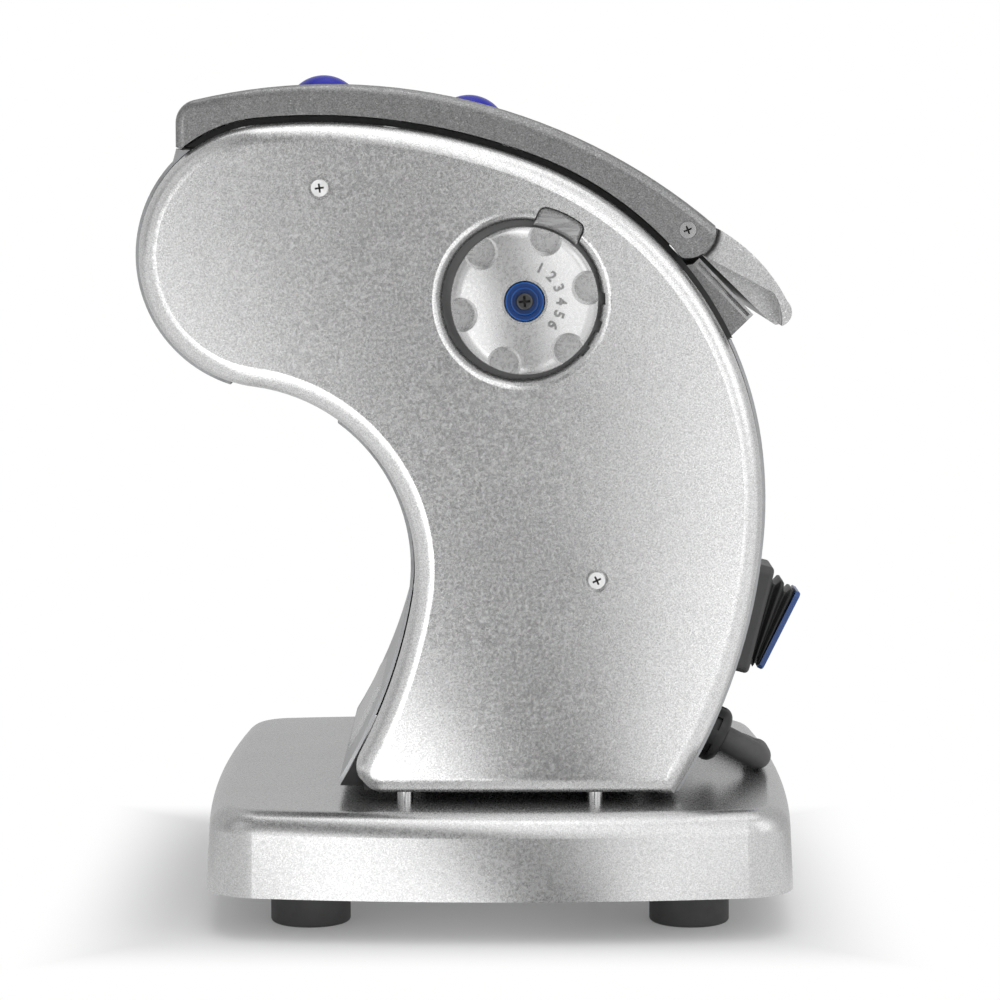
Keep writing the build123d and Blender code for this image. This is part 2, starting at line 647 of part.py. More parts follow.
def tab_window(margin):
    """Window of the index tab at the edge of the knob recess, enlarged by margin."""
    with BuildSketch() as window:
        with Locations(KNOB_CENTRE):
            Circle(TAB_REACH + margin)
        with BuildSketch(mode=Mode.INTERSECT):
            with Locations(KNOB_CENTRE):
                with PolarLocations(TAB_REACH, 1, start_angle=TAB_ANGLE):
                    Rectangle(2 * TAB_LENGTH, TAB_WIDTH + 2 * margin)
        fillet(window.vertices().sort_by_distance(KNOB_CENTRE)[-2:], TAB_CORNER + margin)
    return window.sketch


with BuildPart() as near_side_cover:
    add(shell_piece)
    with BuildSketch(section(-COVER_FACE + RECESS_DEPTH)):
        with Locations(RECESS_CENTRE):
            Circle(RECESS_RADIUS + COVER_WALL)
        add(tab_window(COVER_WALL))
    extrude(amount=RECESS_DEPTH - COVER_WALL + 0.8)
    with BuildSketch(section(-COVER_FACE)):
        with Locations(RECESS_CENTRE):
            Circle(RECESS_RADIUS)
    extrude(amount=-COVER_FACE + COVER_RIM, mode=Mode.SUBTRACT)
    panel = near_side_cover.faces().sort_by(Axis.Y)[0]
    fillet(panel.inner_wires().sort_by(SortBy.LENGTH)[-1].edges(), RECESS_ROLL)
    with BuildSketch(section(-COVER_FACE)):
        add(tab_window(0))
        with Locations(KNOB_CENTRE):
            for angle in NOTCH_ANGLES:
                with PolarLocations(NOTCH_REACH, 1, start_angle=angle):
                    Rectangle(NOTCH_WIDTH, NOTCH_WIDTH, align=(Align.MAX, Align.CENTER))
    extrude(amount=-COVER_FACE + COVER_RIM, mode=Mode.SUBTRACT)
save(near_side_cover, "near_side_cover")

with BuildPart() as side_cover_screws:
    for x, z in COVER_SCREWS:
        for side in (-1, 1):
            seat_y = COVER_FACE - SCREW_POCKET_DEPTH - 1.5
            with BuildSketch(section(side * seat_y)):
                with Locations((x, z)):
                    Circle(2.9)
            extrude(amount=-side * 2.2)
            with BuildSketch(section(side * seat_y)):
                with Locations((x, z)):
                    Circle(SCREW_RADIUS)
            extrude(amount=side * (seat_y - PLATE_INNER - 0.2))
save(side_cover_screws, "side_cover_screws")


# ================================================================ knob and adjuster
INDEX_PLATE_FRONT = COVER_FACE - RECESS_DEPTH - 0.6
INDEX_PLATE_BACK = INDEX_PLATE_FRONT - 1.5
with BuildPart() as index_plate:
    with BuildSketch(section(-INDEX_PLATE_BACK)):
        with Locations(RECESS_CENTRE):
            Circle(RECESS_RADIUS + COVER_WALL)
        add(tab_window(COVER_WALL))
        with Locations(KNOB_CENTRE):
            Circle(ADJUSTER_NEAR_RADIUS + 0.8, mode=Mode.SUBTRACT)
    extrude(amount=INDEX_PLATE_FRONT - INDEX_PLATE_BACK)
    with BuildSketch(section(-PLATE_OUTER)):
        with Locations(KNOB_CENTRE):
            with PolarLocations(RECESS_RADIUS - 4, 3, start_angle=90):
                Circle(3)
    extrude(amount=INDEX_PLATE_BACK - PLATE_OUTER)
save(index_plate, "index_plate")

with BuildPart() as index_tab:
    with BuildSketch(section(-INDEX_PLATE_FRONT)):
        add(tab_window(-TAB_PLAY))
        with Locations(KNOB_CENTRE):
            Circle(KNOB_RADIUS + 0.8, mode=Mode.SUBTRACT)
    extrude(amount=COVER_FACE - INDEX_PLATE_FRONT - 2)
    chamfer(index_tab.faces().sort_by(Axis.Y)[0].edges(), 0.9)
save(index_tab, "index_tab")

HUB_SEAT = KNOB_FRONT - 0.6 - HUB_CAP_THICKNESS
ECCENTRIC_CENTRE = KNOB_CENTRE + polar(THROW_ANGLE, THROW)
ECCENTRIC_END = GEAR_OUTER_Y + 0.3
with BuildPart() as adjuster_shaft:
    with BuildSketch(section(-PLATE_INNER + 0.4)):
        with Locations(KNOB_CENTRE):
            Circle(ADJUSTER_NEAR_RADIUS)
    extrude(amount=HUB_SEAT - PLATE_INNER + 0.4)
    with BuildSketch(section(-PLATE_INNER + 0.4)):
        with Locations(ECCENTRIC_CENTRE):
            Circle(ADJUSTER_RADIUS)
    extrude(amount=-PLATE_INNER + 0.4 - ECCENTRIC_END)
    with BuildSketch(section(ECCENTRIC_END)):
        with Locations(KNOB_CENTRE):
            Circle(ADJUSTER_FAR_RADIUS)
    extrude(amount=-GEAR_PLATE_THICKNESS - 0.4)
    with BuildSketch(section(-HUB_SEAT)):
        with Locations(KNOB_CENTRE):
            Circle(1.6)
    extrude(amount=-14, mode=Mode.SUBTRACT)
save(adjuster_shaft, "adjuster_shaft")

with BuildPart() as knob_hub:
    with BuildSketch(section(-HUB_SEAT)):
        with Locations(KNOB_CENTRE):
            Circle(HUB_CAP_RADIUS)
            Circle(1.6, mode=Mode.SUBTRACT)
    extrude(amount=HUB_CAP_THICKNESS)
    fillet(knob_hub.faces().sort_by(Axis.Y)[0].outer_wire().edges(), 0.5)
    with BuildSketch(section(-HUB_SEAT - HUB_CAP_THICKNESS)):
        with Locations(KNOB_CENTRE):
            Circle(HUB_CAP_RADIUS - 1.6)
    extrude(amount=-1.2, mode=Mode.SUBTRACT)
save(knob_hub, "knob_hub")

with BuildPart() as knob_screw:
    with BuildSketch(section(-HUB_SEAT - HUB_CAP_THICKNESS + 1.2)):
        with Locations(KNOB_CENTRE):
            Circle(HUB_SCREW_RADIUS)
    extrude(amount=1.6)
    fillet(knob_screw.faces().sort_by(Axis.Y)[0].edges(), 0.6)
    with BuildSketch(section(-HUB_SEAT - HUB_CAP_THICKNESS + 1.2)):
        with Locations(KNOB_CENTRE):
            Circle(1.5)
    extrude(amount=-12)
save(knob_screw, "knob_screw")

with BuildPart() as thickness_knob:
    with BuildSketch(section(-KNOB_BACK)):
        with Locations(KNOB_CENTRE):
            Circle(KNOB_RADIUS)
    extrude(amount=KNOB_FRONT - KNOB_BACK)
    with Locations((KNOB_CENTRE.X, KNOB_CROWN_RADIUS - KNOB_FRONT, KNOB_CENTRE.Y)):
        Sphere(KNOB_CROWN_RADIUS, mode=Mode.INTERSECT)
    fillet(thickness_knob.faces().sort_by(Axis.Y)[0].edges(), KNOB_SHOULDER)
    with BuildSketch(section(-KNOB_FRONT)):
        with Locations(KNOB_CENTRE):
            with PolarLocations(DIMPLE_CIRCLE, DIMPLE_COUNT, start_angle=DIMPLE_ANGLE):
                Circle(DIMPLE_RADIUS)
    extrude(amount=-DIMPLE_DEPTH, taper=DIMPLE_TAPER, mode=Mode.SUBTRACT)
    with BuildSketch(section(-KNOB_FRONT)):
        with Locations(KNOB_CENTRE):
            Circle(KNOB_STEP_RADIUS)
    extrude(amount=-KNOB_STEP_DEPTH, mode=Mode.SUBTRACT)
    with BuildSketch(section(-KNOB_FRONT)):
        with Locations(KNOB_CENTRE):
            Circle(KNOB_POCKET_RADIUS)
    extrude(amount=-KNOB_FRONT + KNOB_POCKET_FLOOR, mode=Mode.SUBTRACT)
    with BuildSketch(section(-KNOB_FRONT)):
        with Locations(KNOB_CENTRE):
            Circle(ADJUSTER_NEAR_RADIUS + 0.1)
    extrude(amount=-KNOB_FRONT + KNOB_BACK, mode=Mode.SUBTRACT)
    with BuildSketch(section(-KNOB_BACK)):
        with Locations(KNOB_CENTRE):
            Circle(KNOB_RADIUS - 3)
            Circle(ADJUSTER_NEAR_RADIUS + 3, mode=Mode.SUBTRACT)
    extrude(amount=5, mode=Mode.SUBTRACT)
save(thickness_knob, "thickness_knob")

KNOB_SPRING_LENGTH = HUB_SEAT - KNOB_POCKET_FLOOR - 0.8
with BuildPart() as knob_spring:
    with BuildLine() as spring_line:
        Helix(
            pitch=KNOB_SPRING_LENGTH / 2.2,
            height=KNOB_SPRING_LENGTH - 0.4,
            radius=(ADJUSTER_NEAR_RADIUS + KNOB_POCKET_RADIUS) / 2,
            center=(KNOB_CENTRE.X, -KNOB_POCKET_FLOOR - 0.6, KNOB_CENTRE.Y),
            direction=(0, -1, 0),
        )
    with BuildSketch(Plane(origin=spring_line.line @ 0, z_dir=spring_line.line % 0)):
        Circle(0.5)
    sweep(path=spring_line.line, is_frenet=True)
save(knob_spring, "knob_spring")


# ================================================================ rollers
ROLLER_END = ROLLER_LENGTH / 2
JOURNAL_END = PLATE_OUTER + 0.4

with BuildPart() as adjuster_sleeves:
    for y in (-ROLLER_END + SLEEVE_LENGTH, ROLLER_END):
        with BuildSketch(section(y)):
            with Locations(UPPER_ROLLER):
                Circle(SLEEVE_RADIUS)
                Circle(ADJUSTER_RADIUS + SLEEVE_PLAY, mode=Mode.SUBTRACT)
        extrude(amount=SLEEVE_LENGTH)
save(adjuster_sleeves, "adjuster_sleeves")

with BuildPart() as adjustable_roller:
    with BuildSketch(section(ROLLER_END)):
        with Locations(UPPER_ROLLER):
            Circle(ROLLER_RADIUS)
    extrude(amount=ROLLER_LENGTH)
    with BuildSketch(section(ROLLER_END)):
        with Locations(UPPER_ROLLER):
            Circle(HUB_RADIUS)
    extrude(amount=ROLLER_END - GEAR_MIDDLE_Y + GEAR_PLAY)
    with BuildSketch(section(GEAR_MIDDLE_Y)):
        with Locations(UPPER_ROLLER):
            Circle(SLEEVE_RADIUS + JOURNAL_PLAY)
    extrude(amount=GEAR_MIDDLE_Y + ROLLER_END, mode=Mode.SUBTRACT)
save(adjustable_roller, "adjustable_roller")

with BuildPart() as fixed_roller:
    with BuildSketch(section(ROLLER_END)):
        with Locations(LOWER_ROLLER):
            Circle(ROLLER_RADIUS)
    extrude(amount=ROLLER_LENGTH)
    with BuildSketch(section(GEAR_OUTER_Y)):
        with Locations(LOWER_ROLLER):
            Circle(JOURNAL_RADIUS)
    extrude(amount=GEAR_OUTER_Y + JOURNAL_END)
save(fixed_roller, "fixed_roller")

with BuildPart() as frame_bushes:
    bores = [(centre, JOURNAL_RADIUS, side) for centre in CUTTER_LIST + [LOWER_ROLLER] for side in (-1, 1)]
    bores.append((KNOB_CENTRE, ADJUSTER_NEAR_RADIUS, -1))
    bores.append((PINION, JOURNAL_RADIUS, 1))
    for centre, radius, side in bores:
        with BuildSketch(section(side * (PLATE_INNER - BUSH_FLANGE))):
            with Locations(centre):
                Circle(BUSH_FLANGE_RADIUS)
        extrude(amount=-side * BUSH_FLANGE)
        with BuildSketch(section(side * PLATE_INNER)):
            with Locations(centre):
                Circle(BUSH_RADIUS)
        extrude(amount=-side * PLATE_THICKNESS)
        with BuildSketch(section(side * (PLATE_INNER - BUSH_FLANGE))):
            with Locations(centre):
                Circle(radius + JOURNAL_PLAY)
        extrude(amount=-side * (PLATE_THICKNESS + BUSH_FLANGE), mode=Mode.SUBTRACT)
save(frame_bushes, "frame_bushes")


# ================================================================ gears
def tooth_outline(centre, teeth, phase):
    """Gear outline with straight-sided teeth, one tooth centred on the phase angle."""
    root = pitch_radius(teeth) - TOOTH_DEDENDUM * TOOTH_MODULE
    tip = pitch_radius(teeth) + TOOTH_ADDENDUM * TOOTH_MODULE
    pitch = 360 / teeth
    foot = TOOTH_THICKNESS - TOOTH_TIP / 2
    points = []
    for tooth in range(teeth):
        middle = phase + tooth * pitch
        points.append(centre + polar(middle - foot * pitch, root))
        points.append(centre + polar(middle - TOOTH_TIP / 2 * pitch, tip))
        points.append(centre + polar(middle + TOOTH_TIP / 2 * pitch, tip))
        points.append(centre + polar(middle + foot * pitch, root))
    with BuildSketch() as outline:
        with BuildLine():
            Polyline(*points, close=True)
        make_face()
    return outline.sketch


def meshed_phase(first, first_teeth, first_phase, second, second_teeth):
    """Phase of a gear whose tooth gaps meet the teeth of the first gear."""
    way = math.degrees(math.atan2(second.Y - first.Y, second.X - first.X))
    return way + 180 - (first_phase - way) * first_teeth / second_teeth - 180 / second_teeth


NARROW_REAR = CUTTER_AXES["narrow_rear"]
NARROW_FRONT = CUTTER_AXES["narrow_front"]
WIDE_REAR = CUTTER_AXES["wide_rear"]
WIDE_FRONT = CUTTER_AXES["wide_front"]
LOWER_PHASE = 0.0
UPPER_PHASE = meshed_phase(LOWER_ROLLER, ROLLER_TEETH, LOWER_PHASE, UPPER_ROLLER, ROLLER_TEETH)
WHEEL_PHASE = meshed_phase(LOWER_ROLLER, ROLLER_TEETH, LOWER_PHASE, DRIVE_WHEEL, WHEEL_TEETH)
PINION_PHASE = meshed_phase(DRIVE_WHEEL, WHEEL_TEETH, WHEEL_PHASE, PINION, PINION_TEETH)

# The cutters' train: each gear's phase follows from the one before it.
TRAIN = [(LOWER_ROLLER, ROLLER_TEETH), (CENTRE_IDLER, CENTRE_IDLER_TEETH), (NARROW_REAR, CUTTER_TEETH),
         (NARROW_FRONT, CUTTER_TEETH), (REAR_IDLER, SMALL_IDLER_TEETH), (FRONT_IDLER, SMALL_IDLER_TEETH),
         (WIDE_REAR, CUTTER_TEETH), (WIDE_FRONT, CUTTER_TEETH)]
TRAIN_PHASES = [LOWER_PHASE]
for (driver, driver_teeth), (driven, driven_teeth) in zip(TRAIN, TRAIN[1:]):
    TRAIN_PHASES.append(meshed_phase(driver, driver_teeth, TRAIN_PHASES[-1], driven, driven_teeth))
(CENTRE_PHASE, NARROW_REAR_PHASE, NARROW_FRONT_PHASE, REAR_IDLER_PHASE, FRONT_IDLER_PHASE,
 WIDE_REAR_PHASE, WIDE_FRONT_PHASE) = TRAIN_PHASES[1:]


def gear(centre, teeth, phase, inner_y, outer_y, bore):
    """Spur gear between two depths, with a round bore."""
    with BuildPart() as wheel:
        with BuildSketch(section(outer_y)):
            add(tooth_outline(centre, teeth, phase))
            with Locations(centre):
                Circle(bore, mode=Mode.SUBTRACT)
        extrude(amount=outer_y - inner_y)
    return wheel


PLANE_START = GEAR_MIDDLE_Y + GEAR_PLAY / 2
lower_roller_gear = gear(LOWER_ROLLER, ROLLER_TEETH, LOWER_PHASE, GEAR_INNER_Y, GEAR_OUTER_Y,
                         JOURNAL_RADIUS + JOURNAL_PLAY)
save(lower_roller_gear, "lower_roller_gear")
upper_roller_gear = gear(UPPER_ROLLER, ROLLER_TEETH, UPPER_PHASE, GEAR_INNER_Y,
                         GEAR_MIDDLE_Y - GEAR_PLAY, HUB_RADIUS + JOURNAL_PLAY)
save(upper_roller_gear, "upper_roller_gear")
centre_idler = gear(CENTRE_IDLER, CENTRE_IDLER_TEETH, CENTRE_PHASE, PLANE_START, GEAR_OUTER_Y,
                    PIN_RADIUS + JOURNAL_PLAY)
save(centre_idler, "centre_idler")
rear_idler = gear(REAR_IDLER, SMALL_IDLER_TEETH, REAR_IDLER_PHASE, PLANE_START, GEAR_OUTER_Y,
                  PIN_RADIUS + JOURNAL_PLAY)
save(rear_idler, "rear_idler")
front_idler = gear(FRONT_IDLER, SMALL_IDLER_TEETH, FRONT_IDLER_PHASE, PLANE_START, GEAR_OUTER_Y,
                   PIN_RADIUS + JOURNAL_PLAY)
save(front_idler, "front_idler")

with BuildPart() as drive_wheel:
    add(gear(DRIVE_WHEEL, WHEEL_TEETH, WHEEL_PHASE, PLANE_START, GEAR_OUTER_Y,
             PIN_RADIUS + JOURNAL_PLAY).part)
    with BuildSketch(section(GEAR_OUTER_Y)):
        with Locations(DRIVE_WHEEL):
            with PolarLocations(16, 5):
                Circle(5.5)
    extrude(amount=GEAR_OUTER_Y - PLANE_START, mode=Mode.SUBTRACT)
save(drive_wheel, "drive_wheel")

GEARBOX_BACK = PLATE_INNER - GEARBOX_LENGTH
SHAFT_START = PLATE_INNER - 16
with BuildPart() as motor_pinion:
    add(gear(PINION, PINION_TEETH, PINION_PHASE, PLANE_START, GEAR_OUTER_Y, JOURNAL_RADIUS - 1).part)
    with BuildSketch(section(GEAR_OUTER_Y)):
        with Locations(PINION):
            Circle(JOURNAL_RADIUS)
    extrude(amount=GEAR_OUTER_Y - SHAFT_START)
save(motor_pinion, "motor_pinion")


# ================================================================ cutter rollers
def cutter(centre, noodle, first_slot, phase):
    """Cutting roller: a core with spaced discs, its journals and its gear."""
    slots = int(ROLLER_LENGTH // noodle)
    start = -slots * noodle / 2
    profile = [(0, -JOURNAL_END), (JOURNAL_RADIUS, -JOURNAL_END), (JOURNAL_RADIUS, -ROLLER_END),
               (CUTTER_CORE_RADIUS, -ROLLER_END)]
    for slot in range(first_slot, slots, 2):
        low = start + slot * noodle + CUTTER_SIDE_PLAY
        high = start + (slot + 1) * noodle - CUTTER_SIDE_PLAY
        profile += [(CUTTER_CORE_RADIUS, low), (CUTTER_RADIUS, low), (CUTTER_RADIUS, high),
                    (CUTTER_CORE_RADIUS, high)]
    profile += [(CUTTER_CORE_RADIUS, ROLLER_END), (JOURNAL_RADIUS, ROLLER_END),
                (JOURNAL_RADIUS, GEAR_OUTER_Y), (0, GEAR_OUTER_Y)]
    with BuildPart() as roller:
        with BuildSketch(Plane.XY.offset(centre.Y)):
            with BuildLine():
                Polyline(*[(centre.X + radius, y) for radius, y in profile], close=True)
            make_face()
        revolve(axis=Axis((centre.X, 0, centre.Y), (0, 1, 0)))
        add(gear(centre, CUTTER_TEETH, phase, PLANE_START, GEAR_OUTER_Y, JOURNAL_RADIUS - 1).part)
    return roller


wide_front_cutter = cutter(WIDE_FRONT, WIDE_NOODLE, 0, WIDE_FRONT_PHASE)
save(wide_front_cutter, "wide_front_cutter")
wide_rear_cutter = cutter(WIDE_REAR, WIDE_NOODLE, 1, WIDE_REAR_PHASE)
save(wide_rear_cutter, "wide_rear_cutter")
narrow_front_cutter = cutter(NARROW_FRONT, NARROW_NOODLE, 0, NARROW_FRONT_PHASE)
save(narrow_front_cutter, "narrow_front_cutter")
narrow_rear_cutter = cutter(NARROW_REAR, NARROW_NOODLE, 1, NARROW_REAR_PHASE)
save(narrow_rear_cutter, "narrow_rear_cutter")


# ================================================================ gear plate, pins and motor
GEAR_PLATE_FRONT = GEAR_OUTER_Y + 0.5
GEAR_POSTS = ((45, 225), (0, 165), (8, 243))
with BuildPart() as gear_plate:
    with BuildSketch(section(GEAR_PLATE_FRONT)):
        with Locations(*GEAR_POSTS, CENTRE_IDLER, DRIVE_WHEEL):
            Circle(6)
        make_hull()
        with Locations(KNOB_CENTRE):
            Circle(ADJUSTER_FAR_RADIUS + JOURNAL_PLAY, mode=Mode.SUBTRACT)
        with Locations(CENTRE_IDLER, DRIVE_WHEEL):
            Circle(PIN_RADIUS + PIN_PLAY, mode=Mode.SUBTRACT)
    extrude(amount=-GEAR_PLATE_THICKNESS)
    with BuildSketch(section(PLATE_OUTER)):
        with Locations(*GEAR_POSTS):
            Circle(3.5)
    extrude(amount=PLATE_OUTER - GEAR_PLATE_FRONT)
save(gear_plate, "gear_plate")

with BuildPart() as gear_pins:
    with BuildSketch(section(PLATE_INNER)):
        with Locations(CENTRE_IDLER, DRIVE_WHEEL, REAR_IDLER, FRONT_IDLER):
            Circle(PIN_RADIUS)
    extrude(amount=PLATE_INNER - GEAR_PLATE_FRONT - 1)
    with BuildSketch(section(PLATE_OUTER)):
        with Locations(CENTRE_IDLER, DRIVE_WHEEL, REAR_IDLER, FRONT_IDLER):
            Circle(PIN_RADIUS + 2)
    extrude(amount=PLATE_OUTER - PLANE_START + GEAR_PLAY)
    with BuildSketch(section(GEAR_PLATE_FRONT)):
        with Locations(REAR_IDLER, FRONT_IDLER):
            Circle(PIN_RADIUS + 1.5)
    extrude(amount=-1)
save(gear_pins, "gear_pins")

with BuildPart() as gearbox:
    with BuildSketch(section(PLATE_INNER)):
        with Locations(PINION):
            RectangleRounded(GEARBOX_SIZE, GEARBOX_SIZE, 8)
    extrude(amount=GEARBOX_LENGTH)
    with BuildSketch(section(PLATE_INNER)):
        with Locations(PINION):
            Circle(BUSH_FLANGE_RADIUS + 0.4)
    extrude(amount=BUSH_FLANGE + 0.4, mode=Mode.SUBTRACT)
    with BuildSketch(section(PLATE_INNER)):
        with Locations(PINION):
            Circle(JOURNAL_RADIUS + JOURNAL_PLAY)
    extrude(amount=PLATE_INNER - SHAFT_START + 0.3, mode=Mode.SUBTRACT)
save(gearbox, "gearbox")

with BuildPart() as drive_motor:
    with BuildSketch(section(GEARBOX_BACK)):
        with Locations(PINION):
            Circle(MOTOR_RADIUS)
    extrude(amount=MOTOR_LENGTH)
    fillet(drive_motor.faces().sort_by(Axis.Y)[0].edges(), 3)
    with BuildSketch(section(GEARBOX_BACK - MOTOR_LENGTH)):
        with Locations(PINION):
            Circle(9)
    extrude(amount=5)
save(drive_motor, "drive_motor")


# ================================================================ top cover
def lid_profile(inset, cheek_radius):
    """Side outline of the top cover: under the lid arc, above the body, ending round the flap pivot."""
    way_out = FLAP_PIVOT - SHOULDER_CENTRE
    pivot_angle = math.degrees(math.atan2(way_out.Y, way_out.X))
    front = LID_FRONT_X + inset
    with BuildSketch() as profile:
        with BuildLine():
            Polyline(
                (front, LID_FRONT_Z),
                (front, LID_CENTRE.Y + LID_RADIUS + 20),
                FLAP_PIVOT + polar(pivot_angle, 60),
                FLAP_PIVOT - polar(pivot_angle, 12),
                NOSE_CENTRE + Vector(20, 20),
                close=True,
            )
        make_face()
        with Locations(FLAP_PIVOT):
            Circle(cheek_radius)
        with BuildSketch(mode=Mode.INTERSECT):
            with Locations(LID_CENTRE):
                Circle(LID_RADIUS - inset)
    return profile.sketch


def lid_outline():
    """Outline of the top cover with its underside lifted off the side covers."""
    with BuildSketch() as outline:
        add(lid_profile(0, CHEEK_RADIUS))
        add(body_profile(-LID_GAP, 0), mode=Mode.SUBTRACT)
        front_low, front_top = outline.vertices().sort_by(Axis.X)[:2].sort_by(Axis.Y)
        fillet(front_top, LID_FRONT_CORNER)
        fillet(front_low, LID_FRONT_FOOT)
    return outline.sketch


def button_plane(x, lift=0.0):
    """Plane on the lid at this X, square to its surface, local X along the rollers."""
    angle = math.degrees(math.acos((x - LID_CENTRE.X) / LID_RADIUS))
    normal = polar(angle)
    seat = LID_CENTRE + polar(angle, LID_RADIUS + lift)
    return Plane(origin=(seat.X, 0, seat.Y), x_dir=(0, 1, 0), z_dir=(normal.X, 0, normal.Y))


BUTTON_TUBE_RADIUS = BUTTON_RADIUS + BUTTON_CLEARANCE + 2
with BuildPart() as top_cover:
    with BuildSketch(section(LID_HALF_WIDTH)):
        add(lid_outline())
    extrude(amount=2 * LID_HALF_WIDTH)
    for side in (-1, 1):
        flank = top_cover.faces().sort_by(Axis.Y)[0 if side < 0 else -1]
        rim = [edge for edge in flank.edges()
               if (Vector(edge.center().X, edge.center().Z) - LID_CENTRE).length > LID_RADIUS - 4]
        fillet(rim, LID_EDGE)
    with BuildSketch(section(LID_HALF_WIDTH - LID_WALL)):
        add(lid_profile(LID_WALL, CHEEK_RADIUS))
        with BuildSketch(mode=Mode.INTERSECT):
            with Locations((FLAP_PIVOT.X - 2 * CHEEK_RADIUS, LID_CENTRE.Y)):
                Rectangle(400, 600, align=(Align.MAX, Align.CENTER))
    extrude(amount=2 * (LID_HALF_WIDTH - LID_WALL), mode=Mode.SUBTRACT)
    with BuildSketch(section(CHEEK_INNER)):
        with Locations(LID_CENTRE):
            Circle(LID_RADIUS - LID_WALL)
        with BuildSketch(mode=Mode.INTERSECT):
            with Locations((FLAP_PIVOT.X - 2 * CHEEK_RADIUS - 1, LID_CENTRE.Y)):
                Rectangle(80, 600, align=(Align.MIN, Align.CENTER))
    extrude(amount=2 * CHEEK_INNER, mode=Mode.SUBTRACT)
    for side in (-1, 1):
        arm_middle = side * (FLAP_ARM_INNER + CHEEK_INNER) / 2
        with Locations((FLAP_PIVOT.X - 1, arm_middle, FLAP_PIVOT.Y)):
            Box(30, CHEEK_INNER - FLAP_ARM_INNER + 1.2, 40,
                align=(Align.MIN, Align.CENTER, Align.CENTER), mode=Mode.SUBTRACT)
        with BuildSketch(section(side * LID_HALF_WIDTH)):
            with Locations(FLAP_PIVOT):
                Circle(3.1)
        extrude(amount=side * 1.8, taper=36, mode=Mode.SUBTRACT)
        with BuildSketch(section(side * LID_HALF_WIDTH)):
            with Locations(FLAP_PIVOT):
                Circle(FLAP_SCREW_RADIUS + 0.05)
        extrude(amount=side * 10, mode=Mode.SUBTRACT)
    for x, sunk in zip(BUTTON_X, BUTTON_SUNK):
        with BuildSketch(button_plane(x)):
            Circle(BUTTON_TUBE_RADIUS)
        extrude(amount=-BUTTON_TUBE_DEPTH)
        with BuildSketch(button_plane(x, 5)):
            Circle(BUTTON_TUBE_RADIUS + 1)
        extrude(amount=-5 - 0.01, mode=Mode.SUBTRACT)
        with BuildSketch(button_plane(x, 5)):
            Circle(BUTTON_RADIUS + BUTTON_CLEARANCE)
        extrude(amount=-BUTTON_TUBE_DEPTH - 5 + 2, mode=Mode.SUBTRACT)
        with BuildSketch(button_plane(x)):
            Circle(BUTTON_STEM_RADIUS + BUTTON_CLEARANCE)
        extrude(amount=-BUTTON_TUBE_DEPTH - 1, mode=Mode.SUBTRACT)
    for x in CUTTER_CENTRES_X:
        with Locations((x, 0, LID_CENTRE.Y + LID_RADIUS)):
            Box(SLOT_WIDTH, SLOT_LENGTH, 30, mode=Mode.SUBTRACT)
save(top_cover, "top_cover")


def push_button(x, sunk):
    """Domed cap with a skirt and a stem that ends in a catch below the tube."""
    dome_radius = (BUTTON_RADIUS**2 + BUTTON_DOME**2) / (2 * BUTTON_DOME)
    with BuildPart() as button:
        with BuildSketch(button_plane(x, -sunk - BUTTON_SKIRT)):
            Circle(BUTTON_RADIUS)
        extrude(amount=BUTTON_SKIRT + BUTTON_DOME)
        centre = button_plane(x, BUTTON_DOME - sunk - dome_radius).origin
        with Locations(centre):
            Sphere(dome_radius, mode=Mode.INTERSECT)
        with BuildSketch(button_plane(x, -sunk - BUTTON_SKIRT)):
            Circle(BUTTON_RADIUS - BUTTON_WALL)
            Circle(BUTTON_STEM_RADIUS, mode=Mode.SUBTRACT)
        extrude(amount=BUTTON_SKIRT, mode=Mode.SUBTRACT)
        with BuildSketch(button_plane(x, -BUTTON_TUBE_DEPTH - sunk - 2)):
            Circle(BUTTON_STEM_RADIUS)
        extrude(amount=BUTTON_TUBE_DEPTH + 3)
        with BuildSketch(button_plane(x, -BUTTON_TUBE_DEPTH - 0.4)):
            Circle(BUTTON_STEM_RADIUS + 1)
        extrude(amount=-1.6 - sunk)
    return button


front_button = push_button(BUTTON_X[0], BUTTON_SUNK[0])
save(front_button, "front_button")
rear_button = push_button(BUTTON_X[1], BUTTON_SUNK[1])
save(rear_button, "rear_button")

BUTTON_TUBE_FLOOR = BUTTON_TUBE_DEPTH - 2
with BuildPart() as button_springs:
    for x, sunk in zip(BUTTON_X, BUTTON_SUNK):
        length = BUTTON_TUBE_FLOOR - sunk - 1.6
        foot = button_plane(x, -BUTTON_TUBE_FLOOR + 0.6)
        with BuildLine() as coil_line:
            Helix(
                pitch=length / 4.2,
                height=length,
                radius=BUTTON_STEM_RADIUS + 2,
                center=foot.origin,
                direction=foot.z_dir,
            )
        with BuildSketch(Plane(origin=coil_line.line @ 0, z_dir=coil_line.line % 0)):
            Circle(0.5)
        sweep(path=coil_line.line, is_frenet=True)
save(button_springs, "button_springs")


# ================================================================ feed flap and chute
FLAP_INNER_RADIUS = CHEEK_RADIUS + FLAP_GAP
FLAP_TOP_START = FLAP_PIVOT + polar(2, FLAP_INNER_RADIUS)
FLAP_LOW_START = FLAP_PIVOT + polar(-58, FLAP_INNER_RADIUS)
FLAP_NOSE = Vector(107.4, 218.0)
FLAP_TIP = Vector(108.2, 211.6)
FLAP_LIP = Vector(104.4, 209.3)
FLAP_FOOT = Vector(102.0, 210.9)
FLAP_CHEEK_END = Vector(102.8, 220.9)
FLAP_SCOOP_NOSE = Vector(105.3, 215.0)
FLAP_SCOOP_TIP = Vector(105.4, 208.0)
FLAP_SCOOP = 14.0
FLAP_EDGE = 3.0

